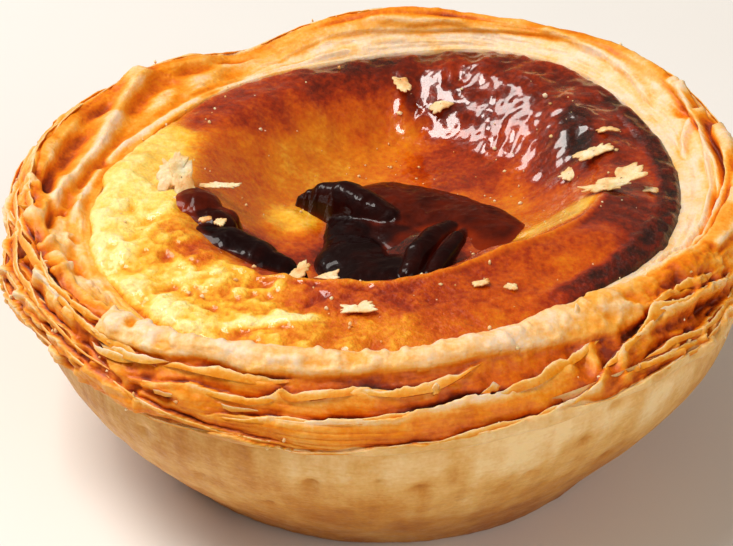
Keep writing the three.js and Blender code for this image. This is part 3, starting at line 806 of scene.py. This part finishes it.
# The custard's top
filling = {
    "columns": 560,
    "rows": 158,
    "jointGap": 0.1,
    "clearance": 0.35,  # between the custard and the cup's inside, under the edge
    "overlap": 0.25,  # how far the custard's top lies over the pastry
    "shoulder": {"mean": 1.4, "bumps": [[80, 60, -1.3], [225, 30, 0.5]]},
    "crater": {
        "x": 1, "y": 2, "depth": 6.4, "flatShare": 0.5, "steepShare": 0.64,
        "radius": {"mean": 21.8, "bumps": [[75, 48, 6.3], [208, 25, 2.0], [300, 24, -3.2]],
                   "waves": [[5, 0.9, 0.4]]},
    },
    "swells": [  # x, y, width, depth and height
        [6.2, -3.4, 7.2, 6.4, 2.6], [24.0, -5.5, 4.5, 6.0, 0.8], [20.1, 13.0, 2.6, 4.6, 1.0],
        [20.6, 12.0, 1.3, 2.6, -1.0], [14.5, -2.0, 2.5, 4.0, 0.4], [20.5, -11.0, 4.0, 3.4, 0.8],
        [14.5, -13.5, 3.6, 2.2, 0.5], [-9.8, 4.4, 1.6, 1.2, 0.5], [-8.2, 1.4, 1.2, 1.4, 0.4],
        [-11.4, 1.6, 1.1, 1.1, 0.35], [-26.5, 4.0, 2.4, 3.4, 0.6], [-25.0, -11.0, 3.0, 3.0, 0.5],
        [-18.0, -22.5, 3.4, 2.4, 0.5], [-10.5, -24.2, 4.2, 1.3, 0.5], [9.4, -12.7, 3.4, 1.6, 0.4],
    ],
    "ripples": {"count": 30, "height": 0.34},
    "lumps": [[3.4, 0.7], [1.3, 0.34]],  # size and height
    "edgeBand": {"width": 2.5, "height": 0.36, "middle": 356},  # dark and bubbly; its middle is an angle
    "browned": [[20, 70, 0.42], [95, 45, 0.42], [285, 40, 0.25]],  # angle, width and how much darker
    "patches": [  # x, y, the patch's half sizes, its turn, how scorched, and how firmly it is so
        [-27.0, -5.0, 4.6, 13.0, -12, 0.10, 1.0],
        [-22.0, -19.0, 9.5, 5.0, -42, 0.16, 1.0],
        [-25.0, 8.5, 5.5, 6.0, 25, 0.15, 1.0],
        [-18.6, 14.6, 6.5, 2.2, 40, 0.2, 0.9],
        [-20.5, -8.5, 2.6, 7.0, -20, 0.40, 0.8],
        [-12.0, -21.0, 6.5, 3.4, -20, 0.30, 0.9],
        [-3.5, -26.5, 7.0, 2.2, 0, 0.40, 0.9],
        [0.5, -20.5, 10.5, 3.4, -3, 0.62, 1.0],
        [-9.0, -16.4, 7.0, 2.0, -28, 0.64, 1.0],
        [10.5, -17.0, 6.5, 4.6, 25, 0.60, 1.0],
        [-18.0, -12.0, 2.6, 2.6, 0, 0.62, 0.8],
        [-7.0, 14.0, 10.0, 8.0, 0, 0.40, 1.0],
        [2.0, 17.0, 6.0, 5.0, 0, 0.46, 0.9],
        [9.0, 15.0, 7.0, 6.5, 0, 0.68, 0.9],
        [-9.6, 3.4, 3.0, 3.0, 0, 0.22, 0.8],
        [13.0, 24.0, 13.0, 5.6, -25, 0.76, 1.0],
        [21.0, 12.0, 6.0, 9.0, 0, 0.76, 0.9],
        [-15.0, 18.5, 8.5, 4.6, 38, 0.66, 1.0],
        [-15.5, 8.0, 4.0, 6.0, 0, 0.52, 0.8],
        [23.5, -7.0, 5.4, 5.4, 0, 0.79, 1.0],
        [20.4, -11.0, 3.6, 2.2, 25, 0.60, 0.8],
        [17.4, -4.4, 4.4, 3.1, 34, 0.2, 1.0],
        [24.3, -2.4, 3.0, 0.8, -20, 0.84, 0.8],
        [20.6, 12.4, 2.2, 4.6, 0, 0.93, 0.9],
        [-14.0, -5.0, 4.6, 5.0, 0, 0.72, 0.8],
        [1.5, -6.5, 10.5, 7.5, -20, 0.86, 1.0],
        [-4.6, -12.5, 4.6, 2.6, 0, 0.92, 1.0],
        [-10.5, -24.4, 4.6, 1.0, 4, 0.02, 0.9],
    ],
    "colours": [
        [0.0, (255, 234, 160)], [0.12, (252, 214, 108)], [0.25, (244, 180, 48)], [0.40, (222, 124, 8)],
        [0.54, (200, 84, 4)], [0.66, (158, 46, 4)], [0.78, (106, 26, 5)], [0.90, (58, 18, 8)],
        [1.0, (20, 6, 4)],
    ],
}


def craterShare(x, y):
    hole = filling["crater"]
    craterAngle = np.degrees(np.arctan2(y - hole["y"], x - hole["x"]))
    return np.hypot(x - hole["x"], y - hole["y"]) / around(hole["radius"], craterAngle), craterAngle


# The height of the custard's top, without its fine lumps
def custardTop(x, y):
    angle = np.degrees(np.arctan2(y, x))
    out = np.minimum(1, np.hypot(x, y) / (around(tart["edgeRadius"], angle) - filling["clearance"]))
    puff = around(filling["shoulder"], angle) * np.sin(np.pi * out) ** 0.8
    hole = filling["crater"]
    share, craterAngle = craterShare(x, y)
    steep = np.maximum(near(craterAngle, 275, 45), 0.7 * near(craterAngle, 65, 60))  # it drops at once there
    slope = mix(ease(share, hole["flatShare"], 1.02), ease(share, hole["steepShare"], 1.0), steep)
    sunk = hole["depth"] * (1 - slope)
    swell = sum(height * np.exp(-((x - sx) / width) ** 2 - ((y - sy) / depth) ** 2)
                for sx, sy, width, depth, height in filling["swells"])
    return around(tart["edgeHeight"], angle) + puff - sunk + swell


def custardMaterial():
    made = Recipe("ovenedCustard")
    tone = made.math("ADD", made.number("scorch"), made.span(made.grain(2.4, 5.0), 0.25, 0.75, -0.07, 0.07))
    tone = made.math("ADD", tone, made.span(made.grain(0.55, 3.0), 0.3, 0.7, -0.055, 0.055))
    made.plug(made.ramp(tone, filling["colours"]), made.shader.inputs["Base Color"])
    matte = made.math("MULTIPLY", made.number("matte"), 0.5)
    gloss = made.math("ADD", made.span(made.grain(0.8), 0.3, 0.7, 0.16, 0.34), matte)
    made.plug(gloss, made.shader.inputs["Roughness"])
    broken = made.math("MULTIPLY", made.grain(0.5, 4.0), made.number("crusty"))
    normal = made.bump(broken, 0.34)
    normal = made.bump(made.grain(0.7, 3.0), 0.06, normal)
    normal = made.bump(made.grain(0.28, 2.0), 0.025, normal)
    made.plug(normal, made.shader.inputs["Normal"])
    made.shader.inputs["Specular IOR Level"].default_value = 0.15
    made.shader.inputs["Subsurface Weight"].default_value = 0.3
    made.shader.inputs["Subsurface Radius"].default_value = (1.0, 0.35, 0.06)
    made.shader.inputs["Subsurface Scale"].default_value = 0.002
    made.plug(made.span(made.number("matte"), 0.0, 1.0, 0.85, 0.2), made.shader.inputs["Coat Weight"])
    made.shader.inputs["Coat Roughness"].default_value = 0.06
    return made.material


def custardFilling():
    columns = filling["columns"]
    angle = np.arange(columns) * 360 / columns
    under = [cupSurface(angle, 1 - row / 8, filling["clearance"]) for row in range(1, 8)]
    under.append(cupSurface(angle, 0.02, filling["jointGap"]))
    puffed = ease(near(angle, 205, 50), 0.1, 0.6)  # the custard swells unevenly over the pastry there
    bulges = bumpy(polar(angle, 30.0, 0.0), 3.4, 305) + 0.5 * bumpy(polar(angle, 30.0, 0.0), 1.5, 306)
    edge = around(tart["edgeRadius"], angle) + filling["overlap"] + puffed * (0.25 + 0.55 * bulges)
    shares = np.linspace(1, 0.004, filling["rows"])
    x = shares[:, None] * edge * np.cos(np.radians(angle))
    y = shares[:, None] * edge * np.sin(np.radians(angle))
    angles = np.broadcast_to(angle, x.shape)
    out = np.broadcast_to(shares[:, None], x.shape)
    flat = np.stack([x, y, np.zeros_like(x)], axis=-1)
    share, craterAngle = craterShare(x, y)
    height = custardTop(x, y) - 0.7 * ease(out, 0.975, 1.0)
    height = height + 0.5 * puffed * ease(out, 0.8, 0.93) * ease(out, 1.0, 0.96)
    outside = ease(share, 0.85, 1.05)
    rightEdge = near(angles, 10, 62)
    frontLeft = near(angles, 225, 55)
    lumpy = outside * (0.35 + frontLeft) * (1 - 0.6 * rightEdge)
    for k, (scale, size) in enumerate(filling["lumps"]):
        height = height + size * rough(flat, scale, 301 + k) * lumpy
    ripple = filling["ripples"]
    wave = 0.45 * np.sin(np.radians(craterAngle) * ripple["count"] + 4.0 * rough(flat, 9.0, 311))
    wave = wave + rough(flat, 3.0, 313, 2) + 0.9 * rough(flat, 1.3, 315, 2)
    height = height + ripple["height"] * wave * near(craterAngle, 62, 60) * ease(share, 0.55, 0.75)
    # the thin raised edge of the crater's front
    lipLine = np.exp(-((share - 1.0 - 0.02 * rough(flat, 3.0, 317)) / 0.022) ** 2)
    lipLine = lipLine * ease(near(craterAngle, 285, 60), 0.2, 0.6)
    height = height + 0.4 * lipLine
    fromEdge = (1 - out) * around(tart["edgeRadius"], angles)
    band = filling["edgeBand"]
    bandWidth = band["width"] * (1 + 0.25 * rough(flat, 2.5, 319))
    ends = ease(np.abs(turnFrom(band["middle"], angles)), 60, 34)
    onBand = ease(fromEdge, bandWidth * 1.3, bandWidth * 0.8) * ends
    height = height + onBand * band["height"] * (1.0 + 0.9 * rough(flat, 1.5, 321, 2))
    height = height + 0.05 * rough(flat, 1.0, 331)
    height = height + 0.14 * frontLeft * outside * rough(flat, 0.8, 335, 2)

    scorch = mix(0.46, 0.2, outside) + 0.05 * rough(flat, 5.0, 341)
    # painted shade in the custard's hollows and painted light on its lumps
    hollow = np.clip(blurred(height, 40) - height, -0.3, 0.4) * (0.3 + frontLeft)
    for centre, wide, darker in filling["browned"]:
        scorch = scorch + outside * darker * near(angles, centre, wide)
    rimDark = near(craterAngle, 75, 60) * np.exp(-((share - 0.92) / 0.14) ** 2)
    scorch = scorch + 0.24 * rimDark
    for px, py, halfWide, halfDeep, turn, value, firm in filling["patches"]:
        bend = math.radians(turn)
        u = ((x - px) * math.cos(bend) + (y - py) * math.sin(bend)) / halfWide
        v = ((y - py) * math.cos(bend) - (x - px) * math.sin(bend)) / halfDeep
        here = ease(np.hypot(u, v) + 0.3 * rough(flat, 4.0, 351), 1.25, 0.6) * firm
        scorch = mix(scorch, value, here)
    scorch = mix(scorch, 0.88 + 0.14 * rough(flat, 1.0, 361), onBand)
    # the hollow term is painted shade in dips and painted light on lumps
    scorch = mix(scorch, 0.42, 0.6 * lipLine) + 0.5 * hollow * outside
    matte = np.maximum(0.55 * onBand, 0.75 * frontLeft * outside)
    crusty = np.clip(outside * (0.15 + frontLeft + 0.4 * near(angles, 275, 30)), 0, 1)
    crusty = crusty * (1 - 0.8 * rightEdge)
    crusty = np.maximum(crusty, onBand)

    top = np.stack([x, y, height], axis=-1)
    grid = np.concatenate([np.stack(under), top])
    padding = np.zeros((len(under), columns))
    numbers = {"scorch": np.concatenate([padding + 0.3, scorch]), "matte": np.concatenate([padding, matte]),
               "crusty": np.concatenate([padding, crusty])}
    faces = gridFaces(*grid.shape[:2]).tolist()
    faces.append(list(range(columns))[::-1])
    last = (len(grid) - 1) * columns
    faces.append(list(range(last, last + columns)))
    return makePiece("custardFilling", grid, faces, numbers, custardMaterial(), "custard")


# Blisters that the oven scorched. Each group is one skin over the bodies listed, which melt together.
# A body follows points [x, y, height of its middle line, half width]; tall is its height to half its width.
blisters = {
    "groups": [
        {"from": [-25.5, -15.0], "to": [-6.5, 2.5], "bodies": [
            {"path": [[-21.4, -2.6, 25.2, 2.4], [-19.2, -2.4, 25.3, 3.2], [-17.0, -3.8, 24.9, 2.4]],
             "tall": 0.75, "char": 0.58},
            {"path": [[-19.6, -4.8, 25.1, 1.9], [-17.0, -5.2, 25.2, 2.2]], "tall": 0.9, "char": 0.8},
            {"path": [[-19.4, -7.0, 25.2, 0.9], [-18.0, -7.6, 24.9, 2.0], [-15.6, -9.0, 24.5, 2.8],
                      [-12.8, -10.4, 24.1, 2.6], [-10.2, -11.6, 24.0, 1.7], [-8.2, -12.2, 24.2, 0.5]],
             "tall": 0.95, "char": 0.98},
        ]},
        {"from": [-10.5, -15.0], "to": [15.5, 12.5], "bodies": [
            {"path": [[0.6, 4.0, 19.8, 6.6], [5.0, 2.2, 19.8, 6.8], [9.0, -0.6, 20.8, 5.6],
                      [11.2, -2.6, 21.3, 4.8], [11.4, -5.0, 21.4, 4.4]],
             "tall": 0.5, "char": 0.64},
            {"path": [[-2.2, 1.6, 20.4, 4.0], [-3.0, -1.4, 20.5, 3.3], [-2.8, -5.0, 20.4, 4.4],
                      [-1.0, -9.0, 20.4, 4.8], [3.5, -8.5, 20.6, 5.0]],
             "tall": 0.5, "char": 1.0},
            {"path": [[1.0, -0.5, 20.9, 3.2], [3.5, -3.5, 21.4, 3.0]], "tall": 0.5, "char": 0.88},
            {"path": [[-8.8, 6.8, 21.2, 0.3], [-7.6, 6.5, 21.1, 0.9], [-6.2, 5.9, 21.0, 1.6],
                      [-4.2, 4.7, 20.8, 2.2], [-1.8, 3.2, 20.4, 2.3], [0.6, 1.5, 20.1, 2.0],
                      [2.8, -0.4, 20.0, 1.2]],
             "tall": 1.7, "char": 0.92},
            {"path": [[2.1, -10.8, 22.2, 0.4], [2.6, -9.8, 22.5, 1.1], [3.5, -6.7, 22.8, 1.4],
                      [5.1, -3.8, 22.9, 1.4], [6.8, -1.7, 22.7, 1.1], [8.0, -1.0, 22.2, 0.4]],
             "tall": 1.1, "char": 0.9},
            {"path": [[3.4, -12.2, 22.6, 0.4], [4.6, -11.0, 22.9, 0.9], [6.0, -7.7, 23.2, 1.1],
                      [7.4, -4.6, 23.2, 1.0], [8.5, -2.0, 22.7, 0.5]],
             "tall": 1.1, "char": 0.9},
            {"path": [[3.8, -10.2, 22.6, 0.8], [7.2, -3.2, 22.8, 0.8]], "tall": 0.5, "char": 1.0},
        ]},
    ],
    "step": 0.13,  # how far apart the skin's points lie
    "melt": 0.3,  # over what height two bodies run together
    "wrinkles": [[2.6, 0.2], [1.1, 0.06]],  # size and height
    "sunk": 1.3,  # how far under the custard's top the skin runs on
    "colours": [
        [0.0, (180, 76, 6)], [0.25, (136, 40, 3)], [0.5, (98, 24, 3)], [0.75, (48, 8, 3)],
        [1.0, (20, 2, 2)],
    ],
}


def blisterMaterial():
    made = Recipe("scorchedSkin")
    tone = made.math("ADD", made.number("char"), made.span(made.grain(2.2, 4.0), 0.25, 0.75, -0.12, 0.12))
    made.plug(made.ramp(tone, blisters["colours"]), made.shader.inputs["Base Color"])
    made.plug(made.span(made.grain(0.9), 0.3, 0.7, 0.3, 0.5), made.shader.inputs["Roughness"])
    normal = made.bump(made.grain(1.2, 4.0, warp=0.6), 0.12)
    normal = made.bump(made.grain(0.3, 2.0), 0.03, normal)
    made.plug(normal, made.shader.inputs["Normal"])
    made.shader.inputs["Specular IOR Level"].default_value = 0.04
    made.shader.inputs["Coat Weight"].default_value = 0.26
    made.shader.inputs["Coat Roughness"].default_value = 0.08
    return made.material


# How high a body stands at each place
def bodyTop(body, x, y):
    top = np.full_like(x, -99.0)
    for first, last in zip(body["path"][:-1], body["path"][1:]):
        wayX, wayY = last[0] - first[0], last[1] - first[1]
        along = np.clip(((x - first[0]) * wayX + (y - first[1]) * wayY) / (wayX ** 2 + wayY ** 2), 0, 1)
        away = np.hypot(x - first[0] - along * wayX, y - first[1] - along * wayY)
        half = mix(first[3], last[3], along)
        arch = body["tall"] * half * np.sqrt(np.clip(1 - (away / half) ** 2, 0, 1))
        top = np.maximum(top, mix(first[2], last[2], along) + arch - 3.0 * np.maximum(away - half, 0))
    return top


def blisterSkin(group, seed):
    (west, south), (east, north) = group["from"], group["to"]
    x, y = np.meshgrid(np.arange(west, east, blisters["step"]), np.arange(south, north, blisters["step"]))
    flat = np.stack([x, y, np.full_like(x, seed * 9.0)], axis=-1)
    wander = 0.35 * rough(flat, 3.4, 401, 2)
    ground = custardTop(x, y)
    height, char = ground - blisters["sunk"], np.full_like(x, 0.4)
    for body in group["bodies"]:
        top = bodyTop(body, x + wander, y + wander)
        over = (top - height) / blisters["melt"]
        height = np.maximum(height, top) + blisters["melt"] / 4 * np.maximum(1 - np.abs(over), 0) ** 2
        char = mix(char, body["char"], ease(over, -1, 0.6))
    proud = height - ground
    for k, (size, amount) in enumerate(blisters["wrinkles"]):
        height = height + amount * (0.4 - 2 * np.abs(rough(flat, size, 411 + k))) * ease(proud, 0.0, 1.5)
    char = char - 0.3 * ease(proud, 0.7, 0.1)
    top = np.stack([x, y, height], axis=-1).reshape(-1, 3)
    index = np.arange(x.size).reshape(x.shape)
    border = np.concatenate([index[0], index[1:, -1], index[-1, -2::-1], index[-2:0:-1, 0]])
    foot = top[border] * [1, 1, 0] + [0, 0, height.min() - 0.5]
    below = x.size + np.arange(len(border))
    sides = np.stack([np.roll(border, -1), border, below, np.roll(below, -1)], axis=-1).tolist()
    faces = gridFaces(*x.shape, closed=False).tolist() + sides + [below[::-1].tolist()]
    numbers = {"char": np.concatenate([char.ravel(), np.ones(len(border))])}
    return np.concatenate([top, foot]), faces, numbers


def scorchedBlisters():
    points, faces, numbers = gather([blisterSkin(group, k) for k, group in enumerate(blisters["groups"])])
    return makePiece("scorchedBlisters", points, faces, numbers, blisterMaterial(), "custard")


# Flakes of pastry that fell on the custard
flakes = {
    "placed": [
        {"x": -21.6, "y": 0.5, "length": 4.2, "width": 3.2, "turn": 80, "tilt": 40, "lift": 0.1},
        {"x": -20.6, "y": -0.2, "length": 3.6, "width": 2.2, "turn": 96, "tilt": 38, "lift": 0.1},
        {"x": -16.9, "y": 1.4, "length": 3.4, "width": 1.3, "turn": -5, "tilt": 6, "lift": 1.2},
        {"x": 24.2, "y": -0.2, "length": 4.4, "width": 2.8, "turn": 20, "tilt": 14, "lift": 0.4},
        {"x": 22.4, "y": -1.4, "length": 4.6, "width": 1.3, "turn": 8, "tilt": 4, "lift": 0.1},
        {"x": 22.0, "y": 7.4, "length": 4.2, "width": 1.7, "turn": 30, "tilt": 8, "lift": 0.3},
        {"x": 23.6, "y": 11.4, "length": 2.2, "width": 1.1, "turn": 0, "tilt": 10, "lift": 0.2},
        {"x": 2.0, "y": 26.6, "length": 6.0, "width": 1.7, "turn": -82, "tilt": 8, "lift": 0.2},
        {"x": 6.4, "y": 24.0, "length": 2.6, "width": 1.8, "turn": 40, "tilt": 10, "lift": 0.2},
        {"x": -2.6, "y": -23.0, "length": 3.2, "width": 1.7, "turn": 6, "tilt": 8, "lift": 0.1},
        {"x": 19.4, "y": 6.4, "length": 1.9, "width": 1.5, "turn": 50, "tilt": 12, "lift": 0.1},
        {"x": -8.4, "y": -16.6, "length": 2.6, "width": 1.4, "turn": 60, "tilt": 14, "lift": 0.2},
        {"x": -5.6, "y": -15.6, "length": 2.8, "width": 1.2, "turn": 15, "tilt": 12, "lift": 0.2},
        {"x": -17.9, "y": -7.6, "length": 1.2, "width": 0.8, "turn": 10, "tilt": 10, "lift": 1.3},
        {"x": -16.4, "y": -6.9, "length": 1.0, "width": 0.9, "turn": 70, "tilt": 10, "lift": 1.7},
        {"x": 27.2, "y": -0.6, "length": 1.4, "width": 0.9, "turn": -20, "tilt": 5, "lift": 0.1},
        {"x": 9.3, "y": -19.0, "length": 1.6, "width": 0.9, "turn": 12, "tilt": 6, "lift": 0.1},
        {"x": 12.2, "y": -19.3, "length": 1.3, "width": 0.9, "turn": -30, "tilt": 6, "lift": 0.1},
    ],
    "thickness": 0.3,
    "columns": 72,
    "rings": 9,
    "colours": [
        [0.0, (250, 230, 194)], [0.35, (242, 204, 146)], [0.7, (222, 156, 80)], [1.0, (168, 94, 32)],
    ],
}


def flakeMaterial():
    made = Recipe("fallenFlake")
    tone = made.math("ADD", made.number("toast"), made.span(made.grain(0.9, 4.0), 0.25, 0.75, -0.25, 0.25))
    made.plug(made.ramp(tone, flakes["colours"]), made.shader.inputs["Base Color"])
    made.plug(made.span(made.grain(0.7), 0.3, 0.7, 0.4, 0.7), made.shader.inputs["Roughness"])
    made.plug(made.bump(made.grain(0.35, 3.0), 0.12), made.shader.inputs["Normal"])
    made.shader.inputs["Subsurface Weight"].default_value = 0.25
    made.shader.inputs["Subsurface Scale"].default_value = 0.001
    return made.material


def flakeSheet(flake, seed):
    side = np.arange(flakes["columns"]) * 2 * np.pi / flakes["columns"]
    outwards = np.linspace(0.05, 1, flakes["rings"])
    ringShares = np.concatenate([outwards, outwards[::-1]])
    reach = ringShares[:, None] * np.ones_like(side)
    outline = np.stack([np.cos(side), np.sin(side), np.full_like(side, seed * 3.1)], axis=-1)
    ragged = 0.5 * (1 + 0.7 * rough(outline, 0.8, 501 + seed) + 0.3 * rough(outline, 0.22, 541 + seed, 2))
    squarer = 1 / np.maximum(np.abs(np.cos(side)), np.abs(np.sin(side))) ** 0.6
    u = reach * ragged * squarer * np.cos(side) * flake["length"]
    v = reach * ragged * squarer * np.sin(side) * flake["width"]
    flat = np.stack([u, v, np.full_like(u, seed * 5.0)], axis=-1)
    upper = np.concatenate([-np.ones(flakes["rings"]), np.ones(flakes["rings"])])[:, None]
    curl = 0.3 * rough(flat, 2.2, 511 + seed) + 0.05 * u ** 2 / max(flake["length"], 1)
    w = curl + upper * flakes["thickness"] / 2 * (1 - 0.6 * reach ** 4)
    w = w + 0.1 * rough(flat * [1, 1, 2], 0.8, 521)
    tilt, turn = math.radians(flake["tilt"]), math.radians(flake["turn"])
    forward = u * math.cos(tilt) - w * math.sin(tilt)
    rise = (u + flake["length"] / 2) * math.sin(tilt) + w * math.cos(tilt)
    x = flake["x"] + forward * math.cos(turn) - v * math.sin(turn)
    y = flake["y"] + forward * math.sin(turn) + v * math.cos(turn)
    base = custardTop(np.array(flake["x"], float), np.array(flake["y"], float))
    grid = np.stack([x, y, base + flake["lift"] + rise], axis=-1)
    toast = 0.3 + 0.5 * rough(grid, 1.6, 531) + 0.25 * (upper < 0) + 0.15 * reach ** 4
    return grid, gridFaces(*grid.shape[:2]), {"toast": toast.ravel()}


def pastryFlakes(material):
    points, faces, numbers = gather([flakeSheet(flake, k) for k, flake in enumerate(flakes["placed"])])
    return makePiece("pastryFlakes", points, faces, numbers, material)


# Crumbs on the custard and in the folds of the rim
crumbs = {"onCustard": 210, "onRim": 90, "sizes": [0.16, 0.6], "seed": 77}


def crumb(place, size, rng):
    golden = (1 + math.sqrt(5)) / 2
    corners = np.array([[0, s, t * golden] for s in (-1, 1) for t in (-1, 1)])
    corners = np.concatenate([corners, corners[:, [1, 2, 0]], corners[:, [2, 0, 1]]])
    gaps = np.linalg.norm(corners[:, None] - corners[None], axis=-1)
    faces = [[a, b, c] for a in range(12) for b in range(a + 1, 12) for c in range(b + 1, 12)
             if max(gaps[a, b], gaps[b, c], gaps[a, c]) < 2.1]
    shaped = corners / 1.9 * rng.uniform(0.6, 1.25, (12, 3)) * rng.uniform(0.6, 1.3, 3) * size / 2
    for face in faces:
        a, b, c = corners[face]
        if np.dot(np.cross(b - a, c - a), a) < 0:
            face.reverse()
    return shaped + place, faces, {"toast": np.full(12, rng.uniform(0.0, 0.6))}


def scatteredCrumbs(material):
    rng = np.random.default_rng(crumbs["seed"])
    parts = []
    for _ in range(crumbs["onCustard"]):
        angle = rng.uniform(0, 360)
        radius = 28.5 * math.sqrt(rng.uniform(0.12, 1))
        x, y = radius * math.cos(math.radians(angle)), radius * math.sin(math.radians(angle))
        size = crumbs["sizes"][0] + (crumbs["sizes"][1] - crumbs["sizes"][0]) * rng.uniform() ** 3
        height = float(custardTop(np.array(x), np.array(y)))
        parts.append(crumb(np.array([x, y, height + 0.15 * size]), size, rng))
    for _ in range(crumbs["onRim"]):
        angle, share = rng.uniform(0, 360), rng.uniform(0.2, 1.0)
        size = rng.uniform(0.2, 0.6)
        place = bandSurface(np.array(angle), np.array(share), 0.1)
        parts.append(crumb(place, size, rng))
    points, faces, numbers = gather(parts)
    return makePiece("scatteredCrumbs", points, faces, numbers, material)


# A pale floor, soft light from a window high on the left, and the photograph's view
studio = {
    "floorSize": 2.4,
    "floorColour": (234, 233, 230),
    "worldColour": (255, 243, 226),
    "worldStrength": 0.2,
    "lightColour": (255, 249, 243),
    # the way to each light, its distance and sizes in metres, and its power
    "lights": {
        "highWindow": [(-0.36, -0.06, 0.93), 0.62, (0.22, 0.18), 2.4],
        "sideWindow": [(-0.64, 0.36, 0.67), 0.62, (0.18, 0.34), 2.2],
        "roomGlow": [(0.50, -0.72, 0.48), 0.70, (0.50, 0.50), 1.6],
    },
    "viewTarget": (-1.75, 0, 16.45),
    "viewDistance": 300,
    "viewElevation": 33,
    "focal": 2880 / 733,  # of the picture's width
}


def aimed(way):
    return Vector(way).to_track_quat("Z", "Y").to_euler()


def softWindow(name, way, distance, size, power):
    lamp = bpy.data.lights.new(name, "AREA")
    lamp.shape = "RECTANGLE"
    lamp.size, lamp.size_y = size
    lamp.energy = power
    lamp.color = tint(*studio["lightColour"])[:3]
    holder = bpy.data.objects.new(name, lamp)
    unit = np.array(way) / np.linalg.norm(way)
    holder.location = unit * distance + np.array([0, 0, 0.02])
    holder.rotation_euler = aimed(way)
    bpy.context.scene.collection.objects.link(holder)


def setStudio():
    scene = bpy.context.scene
    half = studio["floorSize"] / 2
    mesh = bpy.data.meshes.new("paleFloor")
    corners = [(-half, -half, 0), (half, -half, 0), (half, half, 0), (-half, half, 0)]
    mesh.from_pydata(corners, [], [(0, 1, 2, 3)])
    made = Recipe("paleFloor")
    made.shader.inputs["Base Color"].default_value = tint(*studio["floorColour"])
    made.plug(made.span(made.grain(30.0), 0.3, 0.7, 0.55, 0.65), made.shader.inputs["Roughness"])
    mesh.materials.append(made.material)
    floor = bpy.data.objects.new("paleFloor", mesh)
    scene.collection.objects.link(floor)

    world = bpy.data.worlds.new("softRoom")
    world.use_nodes = True
    world.node_tree.nodes["Background"].inputs["Color"].default_value = tint(*studio["worldColour"])
    world.node_tree.nodes["Background"].inputs["Strength"].default_value = studio["worldStrength"]
    scene.world = world
    for name, light in studio["lights"].items():
        softWindow(name, *light)
    scene.view_settings.view_transform = "Standard"

    lift = math.radians(studio["viewElevation"])
    camera = bpy.data.cameras.new("photographView")
    camera.sensor_width = 36
    camera.lens = studio["focal"] * camera.sensor_width
    holder = bpy.data.objects.new("photographView", camera)
    target = np.array(studio["viewTarget"]) * toMetres
    back = np.array([0, -math.cos(lift), math.sin(lift)]) * studio["viewDistance"] * toMetres
    holder.location = target + back
    holder.rotation_euler = (math.pi / 2 - lift, 0, 0)
    scene.collection.objects.link(holder)
    scene.camera = holder
    print("studio set")


pastryPaint = pastryMaterial()
pastryCup(pastryPaint)
leafyRim(pastryPaint)
tornLeaves(pastryPaint)
custardFilling()
scorchedBlisters()
flakePaint = flakeMaterial()
pastryFlakes(flakePaint)
scatteredCrumbs(flakePaint)
setStudio()
